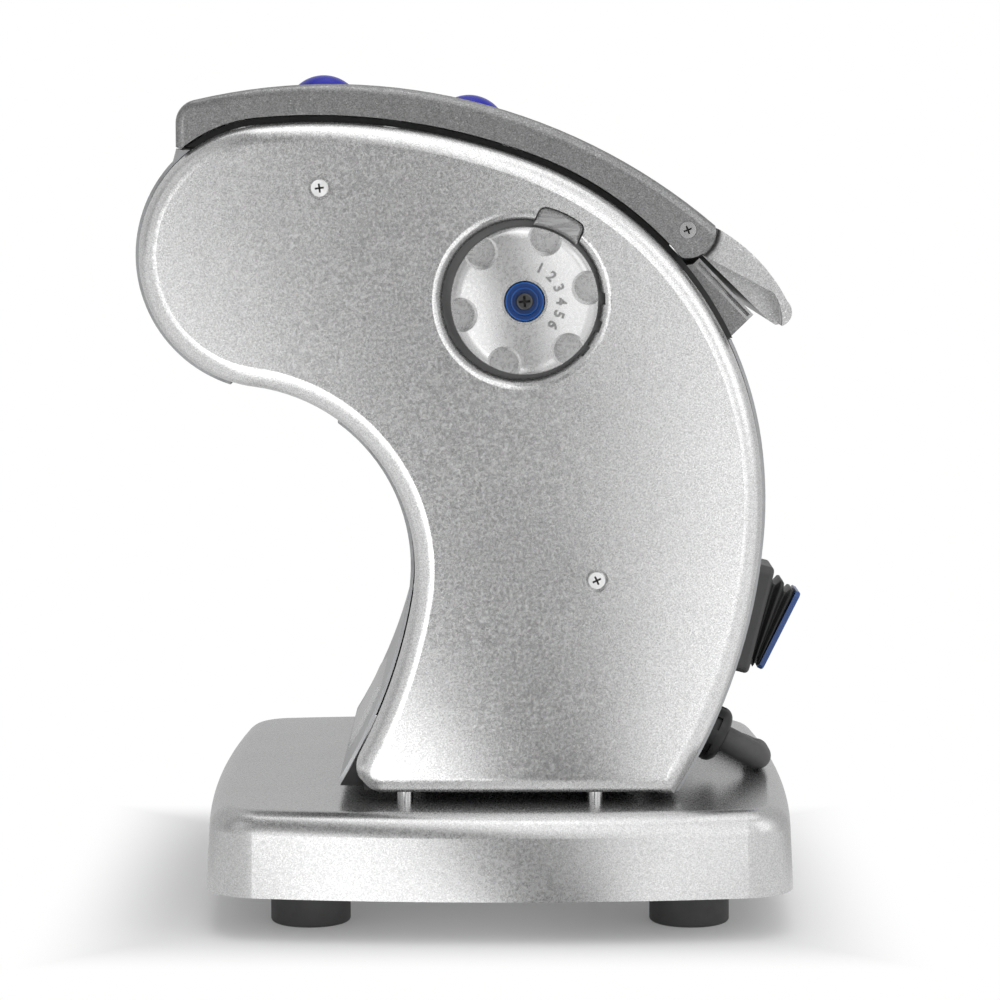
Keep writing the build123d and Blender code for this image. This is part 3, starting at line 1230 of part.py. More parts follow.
with BuildPart() as feed_flap:
    with BuildSketch(section(LID_HALF_WIDTH)):
        with BuildLine():
            ThreePointArc(FLAP_TOP_START, (98.2, 231.2), FLAP_NOSE)
            ThreePointArc(FLAP_NOSE, FLAP_TIP, FLAP_LIP)
            Line(FLAP_LIP, FLAP_FOOT)
            Line(FLAP_FOOT, FLAP_LOW_START)
            ThreePointArc(FLAP_LOW_START, FLAP_PIVOT + polar(-28, FLAP_INNER_RADIUS), FLAP_TOP_START)
        make_face()
    extrude(amount=2 * LID_HALF_WIDTH)
    for side in (-1, 1):
        with BuildSketch(section(side * LID_HALF_WIDTH)):
            with BuildLine():
                Line(FLAP_LOW_START, FLAP_CHEEK_END)
                ThreePointArc(FLAP_CHEEK_END, FLAP_SCOOP_NOSE, FLAP_SCOOP_TIP)
                Polyline(FLAP_SCOOP_TIP, FLAP_FOOT - Vector(1, 6), FLAP_LOW_START)
            make_face()
        extrude(amount=side * FLAP_SCOOP, mode=Mode.SUBTRACT)
    for side in (-1, 1):
        flank = feed_flap.faces().sort_by(Axis.Y)[0 if side < 0 else -1]
        crown_edges = flank.edges().sort_by(Axis.Z)[-1:]
        fillet(crown_edges, FLAP_EDGE)
    for y in (-FLAP_ARM_INNER, FLAP_ARM_OUTER):
        with BuildSketch(section(y)):
            with Locations(FLAP_PIVOT):
                Circle(FLAP_ARM_RADIUS)
            with Locations(FLAP_PIVOT + polar(-12, 12.2), FLAP_PIVOT + polar(-45, 12.2)):
                Circle(1.5)
            make_hull()
        extrude(amount=FLAP_ARM_OUTER - FLAP_ARM_INNER)
    with BuildSketch(section(LID_HALF_WIDTH)):
        with Locations(FLAP_PIVOT):
            Circle(FLAP_SCREW_RADIUS + JOURNAL_PLAY)
    extrude(amount=2 * LID_HALF_WIDTH, mode=Mode.SUBTRACT)
save(feed_flap, "feed_flap")

with BuildPart() as flap_screws:
    for side in (-1, 1):
        with BuildSketch(section(side * (LID_HALF_WIDTH - 0.2))):
            with Locations(FLAP_PIVOT):
                Circle(2.9)
        extrude(amount=side * 1.5, taper=36)
        with BuildSketch(section(side * (LID_HALF_WIDTH - 1))):
            with Locations(FLAP_PIVOT):
                Circle(FLAP_SCREW_RADIUS)
        extrude(amount=side * (LID_HALF_WIDTH - FLAP_ARM_INNER))
save(flap_screws, "flap_screws")

RAIL_START = Vector(75.6, 230.4)
RAIL_END = Vector(94.4, 210.9)
with BuildPart() as feed_chute:
    with BuildSketch(section(CHUTE_HALF_WIDTH)):
        with BuildLine():
            Polyline(
                RAIL_START, RAIL_END, (88.6, 205.3), (84.0, 209.5), (72.6, 226.4), (33.0, 205.2),
                (32.2, 207.2), (70.5, 229.6), close=True,
            )
        make_face()
    extrude(amount=2 * CHUTE_HALF_WIDTH)
save(feed_chute, "feed_chute")

RAIL_WAY = RAIL_END - RAIL_START
RAIL_ANGLE = math.degrees(math.atan2(RAIL_WAY.Y, RAIL_WAY.X))
RAIL_MIDDLE = (RAIL_START + RAIL_END) * 0.5 + polar(RAIL_ANGLE + 90, RAIL_THICKNESS / 2)
with BuildPart() as chute_rail:
    with BuildSketch(section(CHUTE_HALF_WIDTH)):
        with Locations(Location((RAIL_MIDDLE.X, RAIL_MIDDLE.Y), RAIL_ANGLE)):
            Rectangle(RAIL_WAY.length, RAIL_THICKNESS)
            Rectangle(RAIL_WAY.length - 2, RAIL_THICKNESS - 2 * RAIL_SHEET, mode=Mode.SUBTRACT)
    extrude(amount=2 * CHUTE_HALF_WIDTH)
save(chute_rail, "chute_rail")


# ================================================================ guides and scrapers
GUIDE_HALF_WIDTH = PLATE_INNER - 0.3
GUIDE_SHEET = 1.2
with BuildPart() as sheet_guide:
    with BuildSketch(section(GUIDE_HALF_WIDTH)):
        with BuildLine():
            ThreePointArc((2.0, 203.0), (-22.0, 195.5), (-46.0, 178.5))
            offset(amount=GUIDE_SHEET / 2)
        make_face()
    extrude(amount=2 * GUIDE_HALF_WIDTH)
save(sheet_guide, "sheet_guide")

with BuildPart() as roller_scrapers:
    with BuildSketch(section(GUIDE_HALF_WIDTH)):
        with BuildLine():
            Polyline((2.5, 219.4), (-5.5, 223.2), (-5.9, 222.2), close=True)
        make_face()
        with BuildLine():
            Polyline((2.7, 191.0), (-5.6, 186.4), (-5.2, 185.4), close=True)
        make_face()
    extrude(amount=2 * GUIDE_HALF_WIDTH)
save(roller_scrapers, "roller_scrapers")

with BuildPart() as feed_guides:
    for x in CUTTER_CENTRES_X:
        top = LID_CENTRE.Y + math.sqrt((LID_RADIUS - LID_WALL) ** 2 - (x - LID_CENTRE.X - 5) ** 2) - 1.6
        bottom = CUTTER_Z + CUTTER_RADIUS - 2
        with Locations((x - SLOT_WIDTH / 2, 0, bottom), (x + SLOT_WIDTH / 2, 0, bottom)):
            Box(1, 2 * GUIDE_HALF_WIDTH, top - bottom, align=(Align.CENTER, Align.CENTER, Align.MIN))
save(feed_guides, "feed_guides")


# ================================================================ switch
ROCKER_PIVOT = TAIL_CENTRE + polar(SWITCH_ANGLE, SEAT_RADIUS + SWITCH_PROUD - ROCKER_PIVOT_DEPTH)
ROCKER_NORMAL = polar(SWITCH_ANGLE - ROCKER_TILT)
ROCKER_PLANE = Plane(
    origin=(ROCKER_PIVOT.X, SWITCH_Y, ROCKER_PIVOT.Y),
    x_dir=(0, 1, 0),
    z_dir=(ROCKER_NORMAL.X, 0, ROCKER_NORMAL.Y),
)
PIVOT_HEIGHT = SWITCH_PROUD - ROCKER_PIVOT_DEPTH
CAVITY_WIDTH = SWITCH_WIDTH - 6
with BuildPart() as switch_housing:
    with BuildSketch(SWITCH_PLANE):
        RectangleRounded(SWITCH_WIDTH, SWITCH_HEIGHT, 3)
    extrude(amount=SWITCH_PROUD)
    fillet(switch_housing.faces().sort_by(Axis.X)[-1].edges(), 1.5)
    with BuildSketch(SWITCH_PLANE):
        Rectangle(SWITCH_WIDTH - 6, SWITCH_HEIGHT - 6)
    extrude(amount=-SWITCH_DEPTH)
    with BuildSketch(SWITCH_PLANE.offset(SWITCH_PROUD)):
        Rectangle(CAVITY_WIDTH, ROCKER_HEIGHT - 4)
    extrude(amount=-SWITCH_PROUD - 1, mode=Mode.SUBTRACT)
    with Locations(Plane(origin=ROCKER_PLANE.origin, x_dir=(1, 0, 0), z_dir=(0, 1, 0))):
        Cylinder(1.6 + JOURNAL_PLAY, CAVITY_WIDTH + 4, mode=Mode.SUBTRACT)
save(switch_housing, "switch_housing")

with BuildPart() as switch_rocker:
    with BuildSketch(ROCKER_PLANE.offset(ROCKER_LIFT - ROCKER_THICKNESS)):
        RectangleRounded(ROCKER_WIDTH, ROCKER_HEIGHT, 2)
    extrude(amount=ROCKER_THICKNESS)
    rocker_front = switch_rocker.faces().sort_by(Axis((0, 0, 0), ROCKER_PLANE.z_dir))[-1]
    fillet(rocker_front.edges(), 0.8)
    with BuildSketch(ROCKER_PLANE.offset(-1)):
        Rectangle(CAVITY_WIDTH - 6, 13)
    extrude(amount=ROCKER_LIFT - ROCKER_THICKNESS + 1)
    with Locations(Plane(origin=ROCKER_PLANE.origin, x_dir=(1, 0, 0), z_dir=(0, 1, 0))):
        Cylinder(1.6, CAVITY_WIDTH + 3)
save(switch_rocker, "switch_rocker")

BOOT_WALL = 1.5
with BuildPart() as switch_boot:
    with BuildSketch(SWITCH_PLANE.offset(SWITCH_PROUD)):
        RectangleRounded(SWITCH_WIDTH - 3, SWITCH_HEIGHT - 4, 3)
    with BuildSketch(ROCKER_PLANE.offset(ROCKER_LIFT - ROCKER_THICKNESS)):
        RectangleRounded(ROCKER_WIDTH - 0.6, ROCKER_HEIGHT - 0.6, 2)
    loft()
    with BuildSketch(SWITCH_PLANE.offset(SWITCH_PROUD)):
        RectangleRounded(SWITCH_WIDTH - 3 - 2 * BOOT_WALL, SWITCH_HEIGHT - 4 - 2 * BOOT_WALL, 2)
    with BuildSketch(ROCKER_PLANE.offset(ROCKER_LIFT - ROCKER_THICKNESS)):
        RectangleRounded(ROCKER_WIDTH - 0.6 - 2 * BOOT_WALL, ROCKER_HEIGHT - 0.6 - 2 * BOOT_WALL, 1)
    loft(mode=Mode.SUBTRACT)
save(switch_boot, "switch_boot")


# ================================================================ cable gland, cord and plug
with BuildPart() as cable_gland:
    with BuildSketch(GLAND_PLANE):
        Circle(GLAND_RADIUS)
    extrude(amount=GLAND_PROUD)
    fillet(cable_gland.faces().sort_by(Axis.X)[-1].edges(), 4)
    with BuildSketch(GLAND_PLANE.offset(3)):
        with PolarLocations(GLAND_RADIUS, 6, start_angle=30):
            Rectangle(3, 5)
    extrude(amount=4, mode=Mode.SUBTRACT)
    with BuildSketch(GLAND_PLANE):
        Circle(GLAND_RADIUS - 3.3)
    extrude(amount=-5)
    with BuildSketch(GLAND_PLANE.offset(GLAND_PROUD)):
        Circle(SLEEVE_TUBE_RADIUS + 0.05)
    extrude(amount=-4, mode=Mode.SUBTRACT)
save(cable_gland, "cable_gland")


def route_radii(route):
    """Bend radius at each inner point of a cord's route: as large as its two runs allow."""
    radii = []
    for before, here, after in zip(route, route[1:], route[2:]):
        way_in = Vector(*here) - Vector(*before)
        way_out = Vector(*after) - Vector(*here)
        turn = math.radians(way_in.get_angle(way_out))
        radii.append(0.45 * min(way_in.length, way_out.length) / math.tan(turn / 2))
    return radii


def tube(route, radius):
    """Round tube along straight runs joined by tangent arcs."""
    with BuildPart() as pipe:
        with BuildLine() as path:
            FilletPolyline(*route, radius=route_radii(route))
        with BuildSketch(Plane(origin=path.line @ 0, z_dir=path.line % 0)):
            Circle(radius)
        sweep(path=path.line)
    return pipe, path.wire().length


GLAND_MOUTH = GLAND_PLANE.offset(GLAND_PROUD - 3.9).origin
SLEEVE_TURN = GLAND_PLANE.offset(GLAND_PROUD + 4.5).origin
SLEEVE_ROUTE = [
    (GLAND_MOUTH.X, GLAND_MOUTH.Y, GLAND_MOUTH.Z),
    (SLEEVE_TURN.X, SLEEVE_TURN.Y, SLEEVE_TURN.Z),
    (103.2, -25.0, 49.6),
    (103.0, -10.0, 49.4),
]
cable_sleeve, sleeve_length = tube(SLEEVE_ROUTE, SLEEVE_TUBE_RADIUS)
save(cable_sleeve, "cable_sleeve")

CORD_ROUTE = [
    (103.0, -10.0, 49.4),
    (102.6, 3.0, 49.2),
    (98.0, 21.0, 48.2),
    (90.5, 42.0, 48.1),
    (85.0, 65.0, 48.2),
    (82.5, 90.0, 48.4),
    (82.0, 112.0, 49.5),
    (81.8, 126.0, 42.0),
    (81.4, 132.0, 25.0),
    (80.8, 141.0, 9.5),
    (79.8, 155.0, 4.2),
    (78.0, 169.0, 3.9),
]
power_cord, cord_length = tube(CORD_ROUTE, CORD_RADIUS)
save(power_cord, "power_cord")
print("sleeve radii", [round(radius, 1) for radius in route_radii(SLEEVE_ROUTE)], round(sleeve_length, 1))
print("cord radii", [round(radius, 1) for radius in route_radii(CORD_ROUTE)], round(cord_length, 1))
print("cord volume ratio", round(power_cord.part.volume / (math.pi * CORD_RADIUS**2 * cord_length), 4))

COIL_CENTRE = Vector(33.0, 180.0)
COIL_OUTER = 49.4
COIL_INNER = 27.6
COIL_HEIGHT = 14.6
with BuildPart() as cord_coil:
    with BuildSketch(Plane.XY.offset(FLOOR_CLEARANCE)):
        with Locations(COIL_CENTRE):
            Circle(COIL_OUTER)
            Circle(COIL_INNER, mode=Mode.SUBTRACT)
    extrude(amount=COIL_HEIGHT)
    fillet(cord_coil.edges().filter_by(GeomType.CIRCLE), 3.4)
save(cord_coil, "cord_coil")

PLUG_PLANE = Plane(origin=(15.5, 225.0, 7.15), x_dir=(0, 1, 0), z_dir=(-1, 0, 0))
with BuildPart() as plug:
    with BuildSketch(PLUG_PLANE):
        RectangleRounded(9, 9, 3)
    with BuildSketch(PLUG_PLANE.offset(16)):
        RectangleRounded(24, 12, 4)
    loft()
    with BuildSketch(PLUG_PLANE.offset(16)):
        RectangleRounded(34, 14, 5)
    extrude(amount=19)
    with BuildSketch(PLUG_PLANE.offset(35)):
        with Locations((-9.5, 0), (9.5, 0)):
            Circle(2.4)
    extrude(amount=19)
save(plug, "plug")
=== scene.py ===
"""Electric pasta maker: finishes, small details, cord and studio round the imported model.

Metres, in the row frame: X towards the switch, Y away from the knob, Z up.
"""
import json
import math

import bmesh
import bpy
from mathutils import Matrix, Vector


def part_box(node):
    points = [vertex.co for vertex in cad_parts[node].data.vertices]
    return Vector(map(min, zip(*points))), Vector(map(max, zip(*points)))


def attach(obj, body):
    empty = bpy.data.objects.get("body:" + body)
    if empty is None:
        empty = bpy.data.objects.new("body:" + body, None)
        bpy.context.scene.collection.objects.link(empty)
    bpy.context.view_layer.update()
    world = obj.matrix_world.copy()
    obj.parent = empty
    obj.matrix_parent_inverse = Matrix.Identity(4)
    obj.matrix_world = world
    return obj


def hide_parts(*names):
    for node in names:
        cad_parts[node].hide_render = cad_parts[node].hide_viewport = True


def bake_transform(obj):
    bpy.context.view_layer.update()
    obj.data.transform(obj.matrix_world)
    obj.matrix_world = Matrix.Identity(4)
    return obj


MM = 0.001

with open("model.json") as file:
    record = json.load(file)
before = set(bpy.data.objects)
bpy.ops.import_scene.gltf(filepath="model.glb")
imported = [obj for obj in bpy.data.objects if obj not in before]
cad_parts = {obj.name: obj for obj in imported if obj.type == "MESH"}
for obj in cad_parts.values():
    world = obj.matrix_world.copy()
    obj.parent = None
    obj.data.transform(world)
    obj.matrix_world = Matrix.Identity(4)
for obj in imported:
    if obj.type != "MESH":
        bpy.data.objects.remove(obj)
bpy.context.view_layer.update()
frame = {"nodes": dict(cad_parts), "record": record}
NODES = frame["nodes"]


# ---------------------------------------------------------------- scene helpers
def add_object(name, data):
    """A new object in the scene."""
    piece = bpy.data.objects.new(name, data)
    bpy.context.scene.collection.objects.link(piece)
    return piece


def new_piece(name, mesh, material, body):
    """A new object that rides on a body, with the finish it is given."""
    piece = add_object(name, mesh)
    piece.data.materials.append(material)
    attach(piece, body)
    return piece


def closed_mesh(name, shape):
    """The mesh of a closed shape, its faces turned outwards."""
    bmesh.ops.recalc_face_normals(shape, faces=shape.faces)
    mesh = bpy.data.meshes.new(name)
    shape.to_mesh(mesh)
    shape.free()
    return mesh


def basis(place, up, normal):
    """Matrix whose Z is the normal and whose Y is up, at a place."""
    normal = Vector(normal).normalized()
    right = Vector(up).cross(normal).normalized()
    true_up = normal.cross(right)
    return Matrix.Translation(place) @ Matrix((right, true_up, normal)).transposed().to_4x4()


def bridge(shape, first, second):
    """Faces between two rings with as many points."""
    for index in range(len(first)):
        after = (index + 1) % len(first)
        shape.faces.new((first[index], first[after], second[after], second[index]))


def round_edges(piece, width, angle, segments=3, material=-1, harden=True):
    """Rounds the sharp edges of a piece, up to a width in mm; material -1 keeps the faces' own."""
    modifier = piece.modifiers.new("rounded", "BEVEL")
    modifier.width = width * MM
    modifier.segments = segments
    modifier.limit_method = "ANGLE"
    modifier.angle_limit = math.radians(angle)
    modifier.material = material
    modifier.harden_normals = harden


# ---------------------------------------------------------------- camera
CAMERA_PLACE = Vector((0.009, -1.310, 0.2695))
CAMERA_TILT = 5.59
FOCAL_PIXELS = 3573.5
IMAGE_PIXELS = 1000
SENSOR = 36.0
CLIP_END = 20


def add_camera():
    """Long lens, nearly as high as the machine's top and tilted slightly down."""
    data = bpy.data.cameras.new("camera")
    data.sensor_width = SENSOR
    data.lens = SENSOR * FOCAL_PIXELS / IMAGE_PIXELS
    data.clip_end = CLIP_END
    camera = add_object("camera", data)
    camera.location = CAMERA_PLACE
    camera.rotation_euler = (math.radians(90 - CAMERA_TILT), 0, 0)
    bpy.context.scene.camera = camera


add_camera()


# ---------------------------------------------------------------- power cord
# Places and widths are in mm.
CORD_WIDTH = 7.0
CORD_ROUND = 5
CORD_ORDER = 3
CORD_FINENESS = 6
CORD_ROUTE = [
    (103.0, -10.0, 49.4), (102.6, 3.0, 49.2), (98.0, 21.0, 48.2), (90.5, 42.0, 48.1),
    (85.0, 65.0, 48.2), (82.5, 90.0, 48.4), (82.0, 112.0, 49.5), (81.8, 126.0, 42.0),
    (81.4, 132.0, 25.0), (80.8, 141.0, 9.5), (79.8, 155.0, 4.2), (78.0, 169.0, 3.9),
]
PLUG_TAIL = [(24.0, 225.5, 10.0), (17.5, 225.1, 8.0), (11.0, 225.0, 7.2)]
# The coil's angles are in degrees; its tables give the radius and the height from an angle on.
COIL_CENTRE = (33.0, 180.0)
COIL_STEP = 15
COIL_END = 1875
COIL_RADII = (
    (0, 45.6), (285, 45.6), (345, 38.5), (645, 38.5), (705, 31.4),
    (1245, 31.4), (1305, 38.5), (1605, 38.5), (1665, 45.6), (1890, 45.6),
)
COIL_HEIGHTS = ((0, 3.9), (945, 3.9), (1005, 10.95), (1890, 10.95))


def along(table, place):
    """Value between the points of a table of (place, value)."""
    for (start, first), (end, last) in zip(table, table[1:]):
        if place <= end:
            return first + (last - first) * (place - start) / (end - start)
    return table[-1][1]


def coil_points():
    """Two layers, wound inwards on the floor and outwards on top, about five turns in all."""
    points = []
    for degrees in range(0, COIL_END + 1, COIL_STEP):
        radius = along(COIL_RADII, degrees)
        angle = math.radians(degrees)
        across = COIL_CENTRE[0] + radius * math.cos(angle)
        away = COIL_CENTRE[1] + radius * math.sin(angle)
        points.append((across, away, along(COIL_HEIGHTS, degrees)))
    return points


def add_cord():
    """Mains cord from its sleeve, down behind the base and into a coil that ends in the plug."""
    curve = bpy.data.curves.new("cord_line", "CURVE")
    curve.dimensions = "3D"
    # The points' radius carries the width, so that the curve's bounds stay as thin as the cord.
    curve.bevel_depth = 1
    curve.bevel_resolution = CORD_ROUND
    curve.resolution_u = CORD_FINENESS
    curve.use_fill_caps = True
    points = CORD_ROUTE + coil_points() + PLUG_TAIL
    spline = curve.splines.new("NURBS")
    spline.points.add(len(points) - 1)
    for control, place in zip(spline.points, points):
        control.co = (*(Vector(place) * MM), 1)
        control.radius = CORD_WIDTH / 2 * MM
    spline.order_u = CORD_ORDER
    spline.use_endpoint_u = True
    piece = add_object("mains_cord", curve)
    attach(piece, "machine")
    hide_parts("power_cord", "cord_coil")
    return piece


CORD = add_cord()


# ---------------------------------------------------------------- shader helpers
# The span in which nearly all of a noise lies.
NOISE_SPAN = (0.3, 0.7)


class Shader:
    """A material and short calls that add nodes to it."""

    def __init__(self, name):
        self.material = bpy.data.materials.new(name)
        self.material.use_nodes = True
        self.tree = self.material.node_tree
        self.bsdf = self.tree.nodes["Principled BSDF"]
        self.place = self.tree.nodes.new("ShaderNodeTexCoord").outputs["Object"]

    def set(self, **values):
        """Sets sockets of the main shader; an underscore in a name stands for a space."""
        for name, value in values.items():
            self.bsdf.inputs[name.replace("_", " ")].default_value = value

    def link(self, source, socket):
        self.tree.links.new(source, socket)

    def feed(self, name, source):
        """Links an output to a socket of the main shader."""
        self.link(source, self.bsdf.inputs[name])

    def stretch(self, scale):
        """The place, stretched by a factor for each axis."""
        mapping = self.tree.nodes.new("ShaderNodeMapping")
        mapping.inputs["Scale"].default_value = scale
        self.link(self.place, mapping.inputs["Vector"])
        return mapping.outputs["Vector"]

    def noise(self, scale, detail=2.0, roughness=0.5, place=None):
        """Soft noise between 0 and 1, most of it near the middle."""
        node = self.tree.nodes.new("ShaderNodeTexNoise")
        node.inputs["Scale"].default_value = scale
        node.inputs["Detail"].default_value = detail
        node.inputs["Roughness"].default_value = roughness
        self.link(place or self.place, node.inputs["Vector"])
        return node.outputs["Fac"]

    def cells(self, scale):
        """A random grey for each small cell."""
        node = self.tree.nodes.new("ShaderNodeTexVoronoi")
        node.inputs["Scale"].default_value = scale
        self.link(self.place, node.inputs["Vector"])
        split = self.tree.nodes.new("ShaderNodeSeparateColor")
        self.link(node.outputs["Color"], split.inputs[0])
        return split.outputs[0]

    def spread(self, value, low, high, to_low=0.0, to_high=1.0):
        """Maps low..high of a value to to_low..to_high, clamped."""
        node = self.tree.nodes.new("ShaderNodeMapRange")
        for socket, number in zip(node.inputs[1:5], (low, high, to_low, to_high)):
            socket.default_value = number
        self.link(value, node.inputs[0])
        return node.outputs[0]

    def mix(self, factor, first, second):
        """Mixes two colours, given as colours or as outputs."""
        node = self.tree.nodes.new("ShaderNodeMix")
        node.data_type = "RGBA"
        for socket, colour in ((node.inputs[6], first), (node.inputs[7], second)):
            if isinstance(colour, tuple):
                socket.default_value = colour
            else:
                self.link(colour, socket)
        self.link(factor, node.inputs[0])
        return node.outputs[2]

    def scale(self, colour, factor):
        """The colour multiplied by a value."""
        node = self.tree.nodes.new("ShaderNodeVectorMath")
        node.operation = "SCALE"
        self.link(colour, node.inputs[0])
        self.link(factor, node.inputs["Scale"])
        return node.outputs[0]

    def drift(self, scale, detail=2.0):
        """Soft noise that fills the range from 0 to 1."""
        return self.spread(self.noise(scale, detail), *NOISE_SPAN)

    def tone(self, pattern, colour, dark, light):
        """The colour, between a darker and a lighter shade of it."""
        return self.mix(pattern, shade(colour, dark), shade(colour, light))

    def roughen(self, pattern, roughness, less, more):
        """Roughness that varies a little with a noise around its middle."""
        rough = self.spread(pattern, *NOISE_SPAN, roughness - less, roughness + more)
        self.feed("Roughness", rough)

    def bump(self, height, strength, distance, under=None):
        """Raises the surface by a value; a first bump may lie under it."""
        node = self.tree.nodes.new("ShaderNodeBump")
        node.inputs["Strength"].default_value = strength
        node.inputs["Distance"].default_value = distance
        self.link(height, node.inputs["Height"])
        if under is not None:
            self.link(under, node.inputs["Normal"])
        self.feed("Normal", node.outputs["Normal"])
        return node.outputs["Normal"]


class Graph:
    """Short calls that add plain value nodes to a tree."""

    def __init__(self, tree):
        self.tree = tree

    def fill(self, sockets, values):
        """Gives each socket its value, a number or an output."""
        for socket, value in zip(sockets, values):
            if isinstance(value, (int, float)):
                socket.default_value = value
            else:
                self.tree.links.new(value, socket)

    def math(self, operation, *values):
        """One arithmetic step on one, two or three values."""
        node = self.tree.nodes.new("ShaderNodeMath")
        node.operation = operation
        self.fill(node.inputs, values)
        return node.outputs[0]

    def blend(self, factor, first, second):
        """Value between two values, by a factor."""
        node = self.tree.nodes.new("ShaderNodeMix")
        self.fill((node.inputs[0], *node.inputs[2:4]), (factor, first, second))
        return node.outputs[0]

    def split(self, vector):
        """The three parts of a vector."""
        node = self.tree.nodes.new("ShaderNodeSeparateXYZ")
        self.tree.links.new(vector, node.inputs[0])
        return node.outputs

    def smooth(self, value, low, high, to_low=0.0, to_high=1.0):
        """Smooth step of a value from low to high."""
        node = self.tree.nodes.new("ShaderNodeMapRange")
        node.interpolation_type = "SMOOTHSTEP"
        for socket, number in zip(node.inputs[1:5], (low, high, to_low, to_high)):
            socket.default_value = number
        self.tree.links.new(value, node.inputs[0])
        return node.outputs[0]

    def room(self, across, away, rise, turn):
        """Light from a direction: bright walls at the left and right, a dark doorway between them
        behind the photographer, and a plain backdrop behind the machine."""
        forward = self.math("MAXIMUM", self.math("MULTIPLY", away, -1.0), LEAST_FORWARD)
        sideways = self.math("DIVIDE", across, forward)
        upward = self.math("DIVIDE", rise, forward)
        left_edge = self.math("MULTIPLY_ADD", upward, LEFT_LEAN, sideways)
        left = self.math("MULTIPLY", self.smooth(left_edge, *LEFT_EDGE, LEFT_WALL, 0.0),
                         self.smooth(upward, *LEFT_TOP, 1.0, LEFT_TOP_FADE))
        left = self.math("MULTIPLY", left, self.smooth(sideways, *LEFT_END, LEFT_FADE, 1.0))
        right_edge = self.math("MULTIPLY_ADD", upward, RIGHT_LEAN, sideways)
        right = self.math("MULTIPLY", self.smooth(right_edge, *RIGHT_EDGE, DOORWAY, RIGHT_WALL),
                          self.smooth(sideways, *RIGHT_END, 1.0, RIGHT_FADE))
        return self.blend(self.smooth(away, *turn), self.math("ADD", left, right), BACKDROP)


def grey(level, tint=(0.0, 0.0, 0.0)):
    """A grey, with a faint tint added to it."""
    return (level + tint[0], level + tint[1], level + tint[2], 1.0)


def shade(colour, factor):
    """The colour, darker or lighter by a factor."""
    return (colour[0] * factor, colour[1] * factor, colour[2] * factor, 1.0)


# ---------------------------------------------------------------- materials
# Scales are in cells or waves per metre.
FLAKE_SCALE = 3300
GLINT_SCALE = 2310
GLINT_GAIN = 1.5


def metallic_paint(name, colour, grain, glints, metallic, roughness):
    """Sprayed metallic paint: fine flakes, a faint orange peel and slow changes of tone."""
    shader = Shader(name)
    shader.set(Metallic=metallic, Coat_Weight=0.08, Coat_Roughness=0.3)
    toned = shader.tone(shader.drift(26, 3), colour, 0.97, 1.03)
    flakes = shader.spread(shader.cells(FLAKE_SCALE), 0.0, 1.0, 1 - grain, 1 + grain)
    glint = shader.spread(shader.cells(GLINT_SCALE), 1 - glints, 1.0, 1.0, GLINT_GAIN)
    shader.feed("Base Color", shader.scale(shader.scale(toned, flakes), glint))
    shader.roughen(shader.noise(900), roughness, 0.04, 0.04)
    peel = shader.bump(shader.noise(420), 0.03, 0.0002)
    shader.bump(shader.cells(FLAKE_SCALE), 0.06, 0.00005, peel)
    return shader.material


def rolled_steel(name, colour, roughness, squeeze=(1, 30, 1), strength=0.12):
    """Steel sheet or turned steel; its fine lines lie across the axis that is squeezed most."""
    shader = Shader(name)
    shader.set(Metallic=1.0)
    lines = shader.noise(60, 4, 0.6, shader.stretch(squeeze))
    shader.feed("Base Color", shader.tone(lines, colour, 0.86, 1.08))
    shader.roughen(lines, roughness, 0.06, 0.08)
    shader.bump(lines, strength, 0.0001)
    return shader.material


def rubber(name, colour, roughness, texture=900):
    """Moulded rubber: matt, with a fine skin and faint dust."""
    shader = Shader(name)
    shader.set(Specular_IOR_Level=0.4)
    dust = shader.spread(shader.noise(55, 4, 0.65), 0.45, 0.75)
    shader.feed("Base Color", shader.tone(dust, colour, 0.92, 1.25))
    shader.roughen(shader.noise(200), roughness, 0.05, 0.08)
    shader.bump(shader.noise(texture, 3), 0.12, 0.0002)
    return shader.material


def gloss_plastic(name, colour, roughness, coat, specular=0.6):
    """Clear-coloured moulded plastic with a faint flow in its tone."""
    shader = Shader(name)
    shader.set(Coat_Weight=coat, Coat_Roughness=0.04, Specular_IOR_Level=specular)
    shader.feed("Base Color", shader.tone(shader.drift(80), colour, 0.92, 1.08))
    shader.roughen(shader.noise(150), roughness, 0.03, 0.04)
    shader.bump(shader.noise(600), 0.03, 0.0001)
    return shader.material


def matt_plastic(name, colour, roughness):
    """Spark-eroded moulded plastic."""
    shader = Shader(name)
    shader.feed("Base Color", shader.tone(shader.drift(70, 3), colour, 0.9, 1.12))
    shader.roughen(shader.noise(500), roughness, 0.06, 0.06)
    shader.bump(shader.noise(1300), 0.15, 0.0001)
    return shader.material


def plated(name, colour, roughness):
    """Chrome plating, with a very faint unevenness."""
    shader = Shader(name)
    shader.set(Metallic=1.0)
    haze = shader.spread(shader.noise(220, 3), 0.35, 0.7)
    shader.feed("Base Color", shader.tone(haze, colour, 0.95, 1.04))
    shader.feed("Roughness", shader.spread(haze, 0, 1, roughness, roughness + 0.06))
    shader.bump(shader.noise(300), 0.03, 0.0001)
    return shader.material


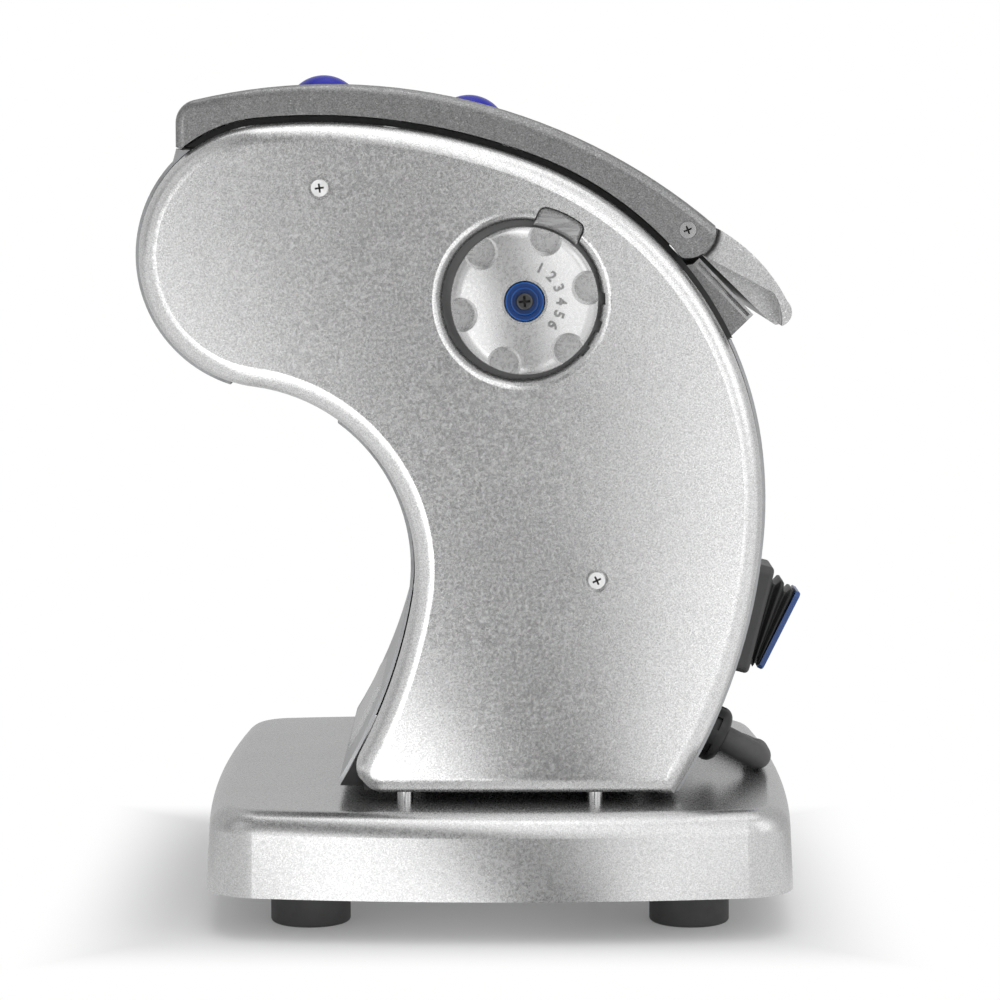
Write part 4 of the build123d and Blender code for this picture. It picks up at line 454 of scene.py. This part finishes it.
# After the name and the colour come, for a paint, its grain, share of glints, metal and
# roughness; for a steel its roughness, the squeeze and the strength of its lines; for a plastic
# its roughness, coat and specular level; for the others their roughness.
MATERIALS = {
    "silver_paint": metallic_paint("silver_paint", grey(0.70), 0.22, 0.0, 0.92, 0.26),
    "grey_paint": metallic_paint("grey_paint", grey(0.26), 0.34, 0.08, 0.88, 0.34),
    "satin_steel": rolled_steel("satin_steel", grey(0.42, (0, 0.004, 0.012)), 0.34),
    # Near-black enamel; on the frame plates it is also painted shade for the gaps beside the covers
    # and under the lid.
    "black_enamel": matt_plastic("black_enamel", grey(0.012), 0.5),
    "steel_plate": rolled_steel("steel_plate", grey(0.50), 0.40),
    "bright_steel": rolled_steel("bright_steel", grey(0.66), 0.22, (1, 8, 1)),
    "screw_steel": rolled_steel("screw_steel", grey(0.60), 0.26, (1, 1, 1), 0.05),
    "chrome": plated("chrome", grey(0.80), 0.10),
    "dark_chrome": rolled_steel("dark_chrome", grey(0.62), 0.24, (1, 1, 12), 0.1),
    "bronze": rolled_steel("bronze", (0.50, 0.30, 0.12, 1.0), 0.35, (1, 8, 1)),
    "gear_steel": rolled_steel("gear_steel", grey(0.36), 0.36, (1, 20, 1)),
    "gear_nylon": matt_plastic("gear_nylon", (0.74, 0.72, 0.64, 1.0), 0.45),
    "black_plastic": matt_plastic("black_plastic", grey(0.048), 0.42),
    "blue_plastic": gloss_plastic("blue_plastic", (0.002, 0.006, 0.36, 1.0), 0.25, 0.0, 0.25),
    "rubber": rubber("rubber", grey(0.030), 0.55),
    "gearbox_alloy": matt_plastic("gearbox_alloy", grey(0.42), 0.5),
    "motor_paint": matt_plastic("motor_paint", grey(0.03), 0.4),
}
# The knob's axis, and the rings on its hub as (radius, half width) in mm; the rings get a painted
# highlight.
KNOB_CENTRE = Vector((17.3, 0, 218.7)) * MM
HUB_HIGHLIGHT_RINGS = ((4.6, 0.5), (6.45, 0.55))


def ringed_plastic(name, colour, bright, roughness):
    """Glossy moulded cap whose raised rings get a lighter blue: a painted highlight where they
    catch the light.
    """
    shader = Shader(name)
    shader.set(Roughness=roughness, Specular_IOR_Level=0.5)
    graph = Graph(shader.tree)
    x, _, z = graph.split(shader.place)
    across = graph.math("SUBTRACT", x, KNOB_CENTRE.x)
    upward = graph.math("SUBTRACT", z, KNOB_CENTRE.z)
    squares = graph.math("MULTIPLY_ADD", across, across, graph.math("MULTIPLY", upward, upward))
    radius = graph.math("SQRT", squares)
    rings = None
    for middle, half in HUB_HIGHLIGHT_RINGS:
        away = graph.math("ABSOLUTE", graph.math("SUBTRACT", radius, middle * MM))
        ring = graph.smooth(away, 0.0, half * MM, 1.0, 0.0)
        rings = ring if rings is None else graph.math("MAXIMUM", rings, ring)
    body = shader.tone(shader.drift(80), colour, 0.9, 1.1)
    # The rings take the brighter blue: a painted highlight on their raised edges.
    shader.feed("Base Color", shader.mix(rings, body, bright))
    shader.bump(rings, 0.3, 0.0002)
    return shader.material


HUB_BLUE = (0.001, 0.030, 0.14, 1.0)
RING_HIGHLIGHT_BLUE = (0.002, 0.10, 0.42, 1.0)
ROCKER_BLUE = (0.001, 0.045, 0.20, 1.0)
# The raised numbers get a darker silver than the knob: painted shade, for contrast.
DIGIT_SHADED_SILVER = plated("digit_shaded_silver", grey(0.24), 0.20)
PLATE_SILVER = plated("plate_silver", grey(0.50), 0.24)
BOOT_RUBBER = rubber("boot_rubber", grey(0.018), 0.42)
RECESS_SHADE_BLACK = matt_plastic("painted_recess_shade", grey(0.006), 0.6)
SLOT_OF = {part["node"]: part["material_slot"] for part in frame["record"]["subparts"]}
# Nodes that look different from the rest of their slot.
OWN_MATERIAL = {
    "thickness_knob": metallic_paint("knob_paint", grey(0.62), 0.05, 0.0, 0.80, 0.28),
    "feed_flap": metallic_paint("flap_paint", grey(0.56), 0.28, 0.06, 0.88, 0.34),
    # The index plate's steel is darkened: painted shade in the gap between the knob and its recess.
    "index_plate": rolled_steel("index_plate_shaded_steel", grey(0.20), 0.38),
    "side_cover_screws": plated("panel_screw_chrome", grey(0.92), 0.36),
    # The knob's screw is near-black steel: painted shade, as it sits deep in the blue hub.
    "knob_screw": rolled_steel("knob_screw_shaded_steel", grey(0.09), 0.34, (1, 1, 1), 0.05),
    "base_housing": metallic_paint("base_paint", grey(0.56), 0.18, 0.0, 0.92, 0.27),
    "knob_hub": ringed_plastic("knob_hub_blue", HUB_BLUE, RING_HIGHLIGHT_BLUE, 0.3),
    "switch_rocker": gloss_plastic("rocker_blue", ROCKER_BLUE, 0.25, 0.15),
    "rubber_feet": rubber("foot_rubber", grey(0.062), 0.6),
    "cable_sleeve": rubber("sleeve_rubber", grey(0.075), 0.5),
    "cable_gland": matt_plastic("gland_plastic", grey(0.010), 0.45),
}


def dress_nodes():
    """Gives each CAD node its finish."""
    for name, node in NODES.items():
        material = OWN_MATERIAL.get(name) or MATERIALS[SLOT_OF[name]]
        node.data.materials.clear()
        node.data.materials.append(material)


dress_nodes()
CORD.data.materials.append(rubber("cord_rubber", grey(0.022), 0.42, 500))


# ---------------------------------------------------------------- cross recesses of the screws
# Sizes are in mm. A recess runs from above the head down into it and narrows on the way; its
# outline is given as shares of the cross's radius: (reach, half width of an arm).
RECESS_ABOVE = 0.6
RECESS_DEPTH = 1.1
RECESS_TOP = (1.0, 0.19)
RECESS_FLOOR = (0.45, 0.13)
PANEL_SCREWS = ((-52.3, 256.7), (42.2, 122.6))
PANEL_CROSS = 1.9
# Turns in degrees of the crosses of each panel screw: near side, far side.
PANEL_TURNS = ((8, 31), (25, 11))
FLAP_CROSS = 1.8
FLAP_TURNS = (22, 60)
KNOB_CROSS = 2.4
KNOB_TURN = 4


def plus_outline(radius, half):
    """Corners of a plus sign, in order."""
    corners = []
    for quarter in range(4):
        spin = Matrix.Rotation(math.radians(90 * quarter), 2)
        arm = ((radius, -half), (radius, half), (half, half))
        corners += [spin @ Vector(corner) for corner in arm]
    return corners


def cut_crosses(node, screws):
    """Cuts a cross recess into each screw head of a node.

    A screw is (place, way it faces along Y, radius in mm, turn in degrees)."""
    shape = bmesh.new()
    for place, facing, radius, turn in screws:
        stand = basis(place, (0, 0, 1), (0, facing, 0))
        stand = stand @ Matrix.Rotation(math.radians(turn), 4, "Z")
        rings = []
        for height, (reach, half) in ((RECESS_ABOVE, RECESS_TOP), (-RECESS_DEPTH, RECESS_FLOOR)):
            outline = plus_outline(radius * reach, radius * half)
            rings.append([shape.verts.new(stand @ (Vector((x, y, height)) * MM))
                          for x, y in outline])
        for ring in rings:
            shape.faces.new(ring)
        bridge(shape, *rings)
    cutter = add_object(node + "_recess", closed_mesh(node + "_recess", shape))
    # The cross's walls are near black: painted shade in the recess of the steel screw head.
    cutter.data.materials.append(RECESS_SHADE_BLACK)
    cutter.hide_render = True
    cutter.hide_viewport = True
    modifier = NODES[node].modifiers.new("recess", "BOOLEAN")
    modifier.object = cutter
    modifier.operation = "DIFFERENCE"
    modifier.solver = "EXACT"
    modifier.material_mode = "TRANSFER"


def cross_screws():
    """Cross recesses of the screws that can be seen."""
    low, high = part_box("side_cover_screws")
    screws = []
    for (x, z), (near_turn, far_turn) in zip(PANEL_SCREWS, PANEL_TURNS):
        screws.append((Vector((x * MM, low[1], z * MM)), -1, PANEL_CROSS, near_turn))
        screws.append((Vector((x * MM, high[1], z * MM)), 1, PANEL_CROSS, far_turn))
    cut_crosses("side_cover_screws", screws)
    low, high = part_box("flap_screws")
    x, _, z = (Vector(low) + Vector(high)) / 2
    cut_crosses("flap_screws", [(Vector((x, low[1], z)), -1, FLAP_CROSS, FLAP_TURNS[0]),
                                (Vector((x, high[1], z)), 1, FLAP_CROSS, FLAP_TURNS[1])])
    low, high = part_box("knob_screw")
    x, _, z = (Vector(low) + Vector(high)) / 2
    cut_crosses("knob_screw", [(Vector((x, low[1], z)), -1, KNOB_CROSS, KNOB_TURN)])


cross_screws()


# ---------------------------------------------------------------- numbers on the knob
# Sizes are in mm and angles in degrees; the tilt is the slope of the knob's crown.
DIGIT_CIRCLE = 12.3
DIGIT_SIZE = 4.9
DIGIT_HALF_HEIGHT = 0.30
DIGIT_EDGE = 0.12
DIGIT_TILT = 5.9
DIGIT_LIFT = 0.05
RAY_START = 150
DIGIT_ANGLES = (65, 43, 21.8, 0, -20.3, -39.8)


def knob_numbers():
    """Raised numbers 1 to 6, their tops outwards."""
    for number, degrees in enumerate(DIGIT_ANGLES, 1):
        curve = bpy.data.curves.new("digit_line", "FONT")
        curve.body = str(number)
        curve.size = DIGIT_SIZE * MM
        curve.extrude = DIGIT_HALF_HEIGHT * MM
        curve.bevel_depth = DIGIT_EDGE * MM
        curve.align_x = "CENTER"
        curve.align_y = "CENTER"
        holder = bpy.data.objects.new("digit_line", curve)
        mesh = bpy.data.meshes.new_from_object(holder)
        bpy.data.objects.remove(holder)
        angle = math.radians(degrees)
        tilt = math.radians(DIGIT_TILT)
        up = Vector((math.cos(angle), 0, math.sin(angle)))
        normal = up * math.sin(tilt) + Vector((0, -math.cos(tilt), 0))
        start = KNOB_CENTRE + (up * DIGIT_CIRCLE + Vector((0, -RAY_START, 0))) * MM
        _, place, _, _ = NODES["thickness_knob"].ray_cast(start, Vector((0, 1, 0)))
        mesh.transform(basis(place + normal * DIGIT_LIFT * MM, up, normal))
        new_piece("number_%d" % number, mesh, DIGIT_SHADED_SILVER, "knob")


knob_numbers()


# ---------------------------------------------------------------- bellows of the switch boot
# An end is (x, z, slope in degrees, width, height); a row is (share of the way, inset). In mm.
SWITCH_Y = -30.0
BOOT_START = (102.54, 101.85, -14.0, 25.0, 35.4)
BOOT_END = (108.22, 98.57, -26.3, 20.4, 30.4)
BOOT_ROWS = (
    (0.0, 1.5), (0.10, 3.4), (0.22, 3.2), (0.34, 0.7), (0.42, 0.2), (0.50, 0.6),
    (0.60, 3.0), (0.70, 2.8), (0.80, 0.7), (0.88, 0.3), (0.95, 0.7), (1.0, 0.9),
)
BOOT_WALL = 1.1
BOOT_CORNER = 3.0
LEAST_CORNER = 0.8
CORNER_SHRINK = 0.5
CORNER_POINTS = 7


def rounded_outline(width, height, corner):
    """Points of a rounded rectangle, in order."""
    points = []
    for index, (side, top) in enumerate(((1, 1), (-1, 1), (-1, -1), (1, -1))):
        for step in range(CORNER_POINTS):
            angle = math.radians(90 * (index + step / (CORNER_POINTS - 1)))
            points.append((side * (width / 2 - corner) + corner * math.cos(angle),
                           top * (height / 2 - corner) + corner * math.sin(angle)))
    return points


def boot_ring(shape, along_boot, inset):
    """One ring of the bellows, part of the way from the housing to the rocker."""
    x, z, degrees, width, height = (first + (last - first) * along_boot
                                    for first, last in zip(BOOT_START, BOOT_END))
    up = Vector((-math.sin(math.radians(degrees)), 0, math.cos(math.radians(degrees))))
    middle = Vector((x, SWITCH_Y, z))
    corner = max(BOOT_CORNER - inset * CORNER_SHRINK, LEAST_CORNER)
    outline = rounded_outline(width - 2 * inset, height - 2 * inset, corner)
    return [shape.verts.new((middle + Vector((0, across, 0)) + up * rise) * MM)
            for across, rise in outline]


def switch_bellows():
    """Rubber boot with two folds between the switch housing and the rocker."""
    shape = bmesh.new()
    outer = [boot_ring(shape, place, inset) for place, inset in BOOT_ROWS]
    inner = [boot_ring(shape, place, inset + BOOT_WALL) for place, inset in reversed(BOOT_ROWS)]
    rings = outer + inner
    for first, second in zip(rings, rings[1:] + rings[:1]):
        bridge(shape, first, second)
    mesh = closed_mesh("switch_bellows", shape)
    mesh.polygons.foreach_set("use_smooth", [True] * len(mesh.polygons))
    piece = add_object("switch_bellows", mesh)
    piece.data.materials.append(BOOT_RUBBER)
    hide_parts("switch_boot")
    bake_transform(piece)


switch_bellows()


# ---------------------------------------------------------------- bare plate on the front skin
# Sizes are in mm. The slope is the share of the plate's height over which its ends rise; the
# guess is a step out in front of the skin, from where its nearest point is looked for.
PLATE_TOP = Vector((-31.0, 0, 81.7))
PLATE_FOOT = Vector((-44.4, 0, 58.2))
PLATE_GUESS = Vector((-4, 0, -3))
PLATE_HALF_WIDTH = 34.0
PLATE_PROUD = 1.5
PLATE_SUNK = 0.02
PLATE_STEPS = 24
PLATE_SLOPE = 0.16
PLATE_EDGE = 0.5
PLATE_EDGE_ANGLE = 50


def raised_plate():
    """Plate that follows the curve of the front skin and stands proud of it."""
    skin = NODES["front_skin"]
    shape = bmesh.new()
    rings = []
    for step in range(PLATE_STEPS + 1):
        part = step / PLATE_STEPS
        guess = (PLATE_TOP.lerp(PLATE_FOOT, part) + PLATE_GUESS) * MM
        _, place, normal, _ = skin.closest_point_on_mesh(guess)
        ease = min(1.0, part / PLATE_SLOPE, (1 - part) / PLATE_SLOPE)
        rise = PLATE_PROUD * ease * (2 - ease)
        foot = Vector((place.x, 0, place.z))
        outwards = Vector((normal.x, 0, normal.z))
        aside = Vector((0, PLATE_HALF_WIDTH, 0))
        section = ((-PLATE_SUNK, -1), (rise, -1), (rise, 1), (-PLATE_SUNK, 1))
        rings.append([shape.verts.new(foot + (outwards * height + aside * side) * MM)
                      for height, side in section])
    for first, second in zip(rings, rings[1:]):
        bridge(shape, first, second)
    shape.faces.new(rings[0])
    shape.faces.new(rings[-1])
    mesh = closed_mesh("raised_plate", shape)
    piece = new_piece("raised_plate", mesh, PLATE_SILVER, "machine")
    round_edges(piece, PLATE_EDGE, PLATE_EDGE_ANGLE, harden=False)


raised_plate()


# ---------------------------------------------------------------- softened edges
# Node: (width in mm, least angle in degrees, segments, material of the edge).
SOFT_EDGES = {
    "index_tab": (0.6, 20, 3, 1),
    "thickness_knob": (0.8, 38, 4, 0),
    "knob_screw": (0.15, 40, 3, 0),
    "side_cover_screws": (0.5, 40, 3, 0),
}


def soften_edges():
    """Catches light on the edges of the small parts in view; the tab's edges also get bright
    chrome, a painted highlight.
    """
    # The tab's edge faces take bright chrome: a painted highlight along its rounded edges.
    NODES["index_tab"].data.materials.append(MATERIALS["chrome"])
    for name, edge in SOFT_EDGES.items():
        round_edges(NODES[name], *edge)


soften_edges()


# ---------------------------------------------------------------- studio
# The room's light by direction, where 1 is white. It lights the machine and shows in its metal;
# the camera alone sees plain white in its place. An edge, end or top is the pair of slopes,
# sideways or upwards for each step forward, between which the light changes; a lean tilts an
# edge. A turn is the span, going away from the photographer, over which the room gives way to
# the backdrop.
LEFT_WALL = 2.2
LEFT_EDGE = (-0.27, -0.15)
LEFT_LEAN = 0.30
LEFT_END = (-0.66, -0.34)
LEFT_FADE = 0.36
LEFT_TOP = (0.05, 0.35)
LEFT_TOP_FADE = 0.5
RIGHT_WALL = 1.6
RIGHT_EDGE = (0.02, 0.20)
RIGHT_LEAN = 0.25
RIGHT_END = (0.35, 0.7)
RIGHT_FADE = 0.6
DOORWAY = 0.04
BACKDROP = 0.62
LEAST_FORWARD = 0.05
SKY_TURN = (-0.1, 0.3)
# The floor, in metres: it shows shadows near the base and is lit like the room further out.
FLOOR_SIZE = 30
FLOOR_TURN = (-0.05, 0.05)
FLOOR_GREY = 0.90
MACHINE_MIDDLE = 0.17
BASE_HALF_LENGTH = 0.100
BASE_HALF_DEPTH = 0.098
SHADOW_EDGE = (0.004, 0.055)
FLOOR_GLOW = 0.14
# Soft boxes: name, place, size in metres and power in watts.
LIGHT_TARGET = Vector((0, 0, 0.14))
SOFT_BOXES = (
    ("left_box", (-1.3, -0.9, 0.9), (0.9, 1.2), 1),
    ("right_box", (1.3, -0.7, 0.8), (0.8, 1.2), 2),
    ("top_box", (0.1, 0.1, 1.5), (1.4, 1.2), 3),
)


def soft_box(name, place, size, power):
    """A rectangle of light that faces the machine."""
    data = bpy.data.lights.new(name, "AREA")
    data.shape = "RECTANGLE"
    data.size, data.size_y = size
    data.energy = power
    light = add_object(name, data)
    light.location = place
    light.rotation_euler = (LIGHT_TARGET - Vector(place)).to_track_quat("-Z", "Y").to_euler()


def surroundings():
    """The room's walls, dim doorway and backdrop; to the camera alone it is all plain white."""
    world = bpy.data.worlds.new("surroundings")
    bpy.context.scene.world = world
    world.use_nodes = True
    tree = world.node_tree
    graph = Graph(tree)
    background = tree.nodes["Background"]
    background.inputs["Color"].default_value = (1, 1, 1, 1)
    direction = tree.nodes.new("ShaderNodeTexCoord").outputs["Generated"]
    level = graph.room(*graph.split(direction), SKY_TURN)
    seen = tree.nodes.new("ShaderNodeLightPath").outputs["Is Camera Ray"]
    tree.links.new(graph.blend(seen, level, 1.0), background.inputs["Strength"])


def sweep():
    """Pale floor near the machine; further out it is lit like the room, and white to the camera."""
    bpy.ops.mesh.primitive_plane_add(size=FLOOR_SIZE)
    floor = bpy.context.object
    floor.name = "floor"
    shader = Shader("floor")
    shader.set(Base_Color=grey(FLOOR_GREY), Roughness=0.55, Specular_IOR_Level=0.3)
    tree = shader.tree
    graph = Graph(tree)
    x, y, _ = graph.split(shader.place)
    beside = graph.math("SUBTRACT", graph.math("ABSOLUTE", x), BASE_HALF_LENGTH)
    before = graph.math("SUBTRACT", graph.math("ABSOLUTE", y), BASE_HALF_DEPTH)
    far = graph.smooth(graph.math("MAXIMUM", beside, before), *SHADOW_EDGE, FLOOR_GLOW, 1.0)
    level = graph.room(x, y, -MACHINE_MIDDLE, FLOOR_TURN)
    seen = tree.nodes.new("ShaderNodeLightPath").outputs["Is Camera Ray"]
    glow = tree.nodes.new("ShaderNodeEmission")
    shader.link(graph.blend(seen, level, 1.0), glow.inputs["Strength"])
    blend = tree.nodes.new("ShaderNodeMixShader")
    shader.link(far, blend.inputs[0])
    shader.link(shader.bsdf.outputs[0], blend.inputs[1])
    shader.link(glow.outputs[0], blend.inputs[2])
    shader.link(blend.outputs[0], tree.nodes["Material Output"].inputs["Surface"])
    floor.data.materials.append(shader.material)


def studio():
    """Sweep of floor, the room around it and three weak soft boxes."""
    bpy.context.scene.view_settings.view_transform = "Standard"
    for box in SOFT_BOXES:
        soft_box(*box)
    surroundings()
    sweep()


studio()
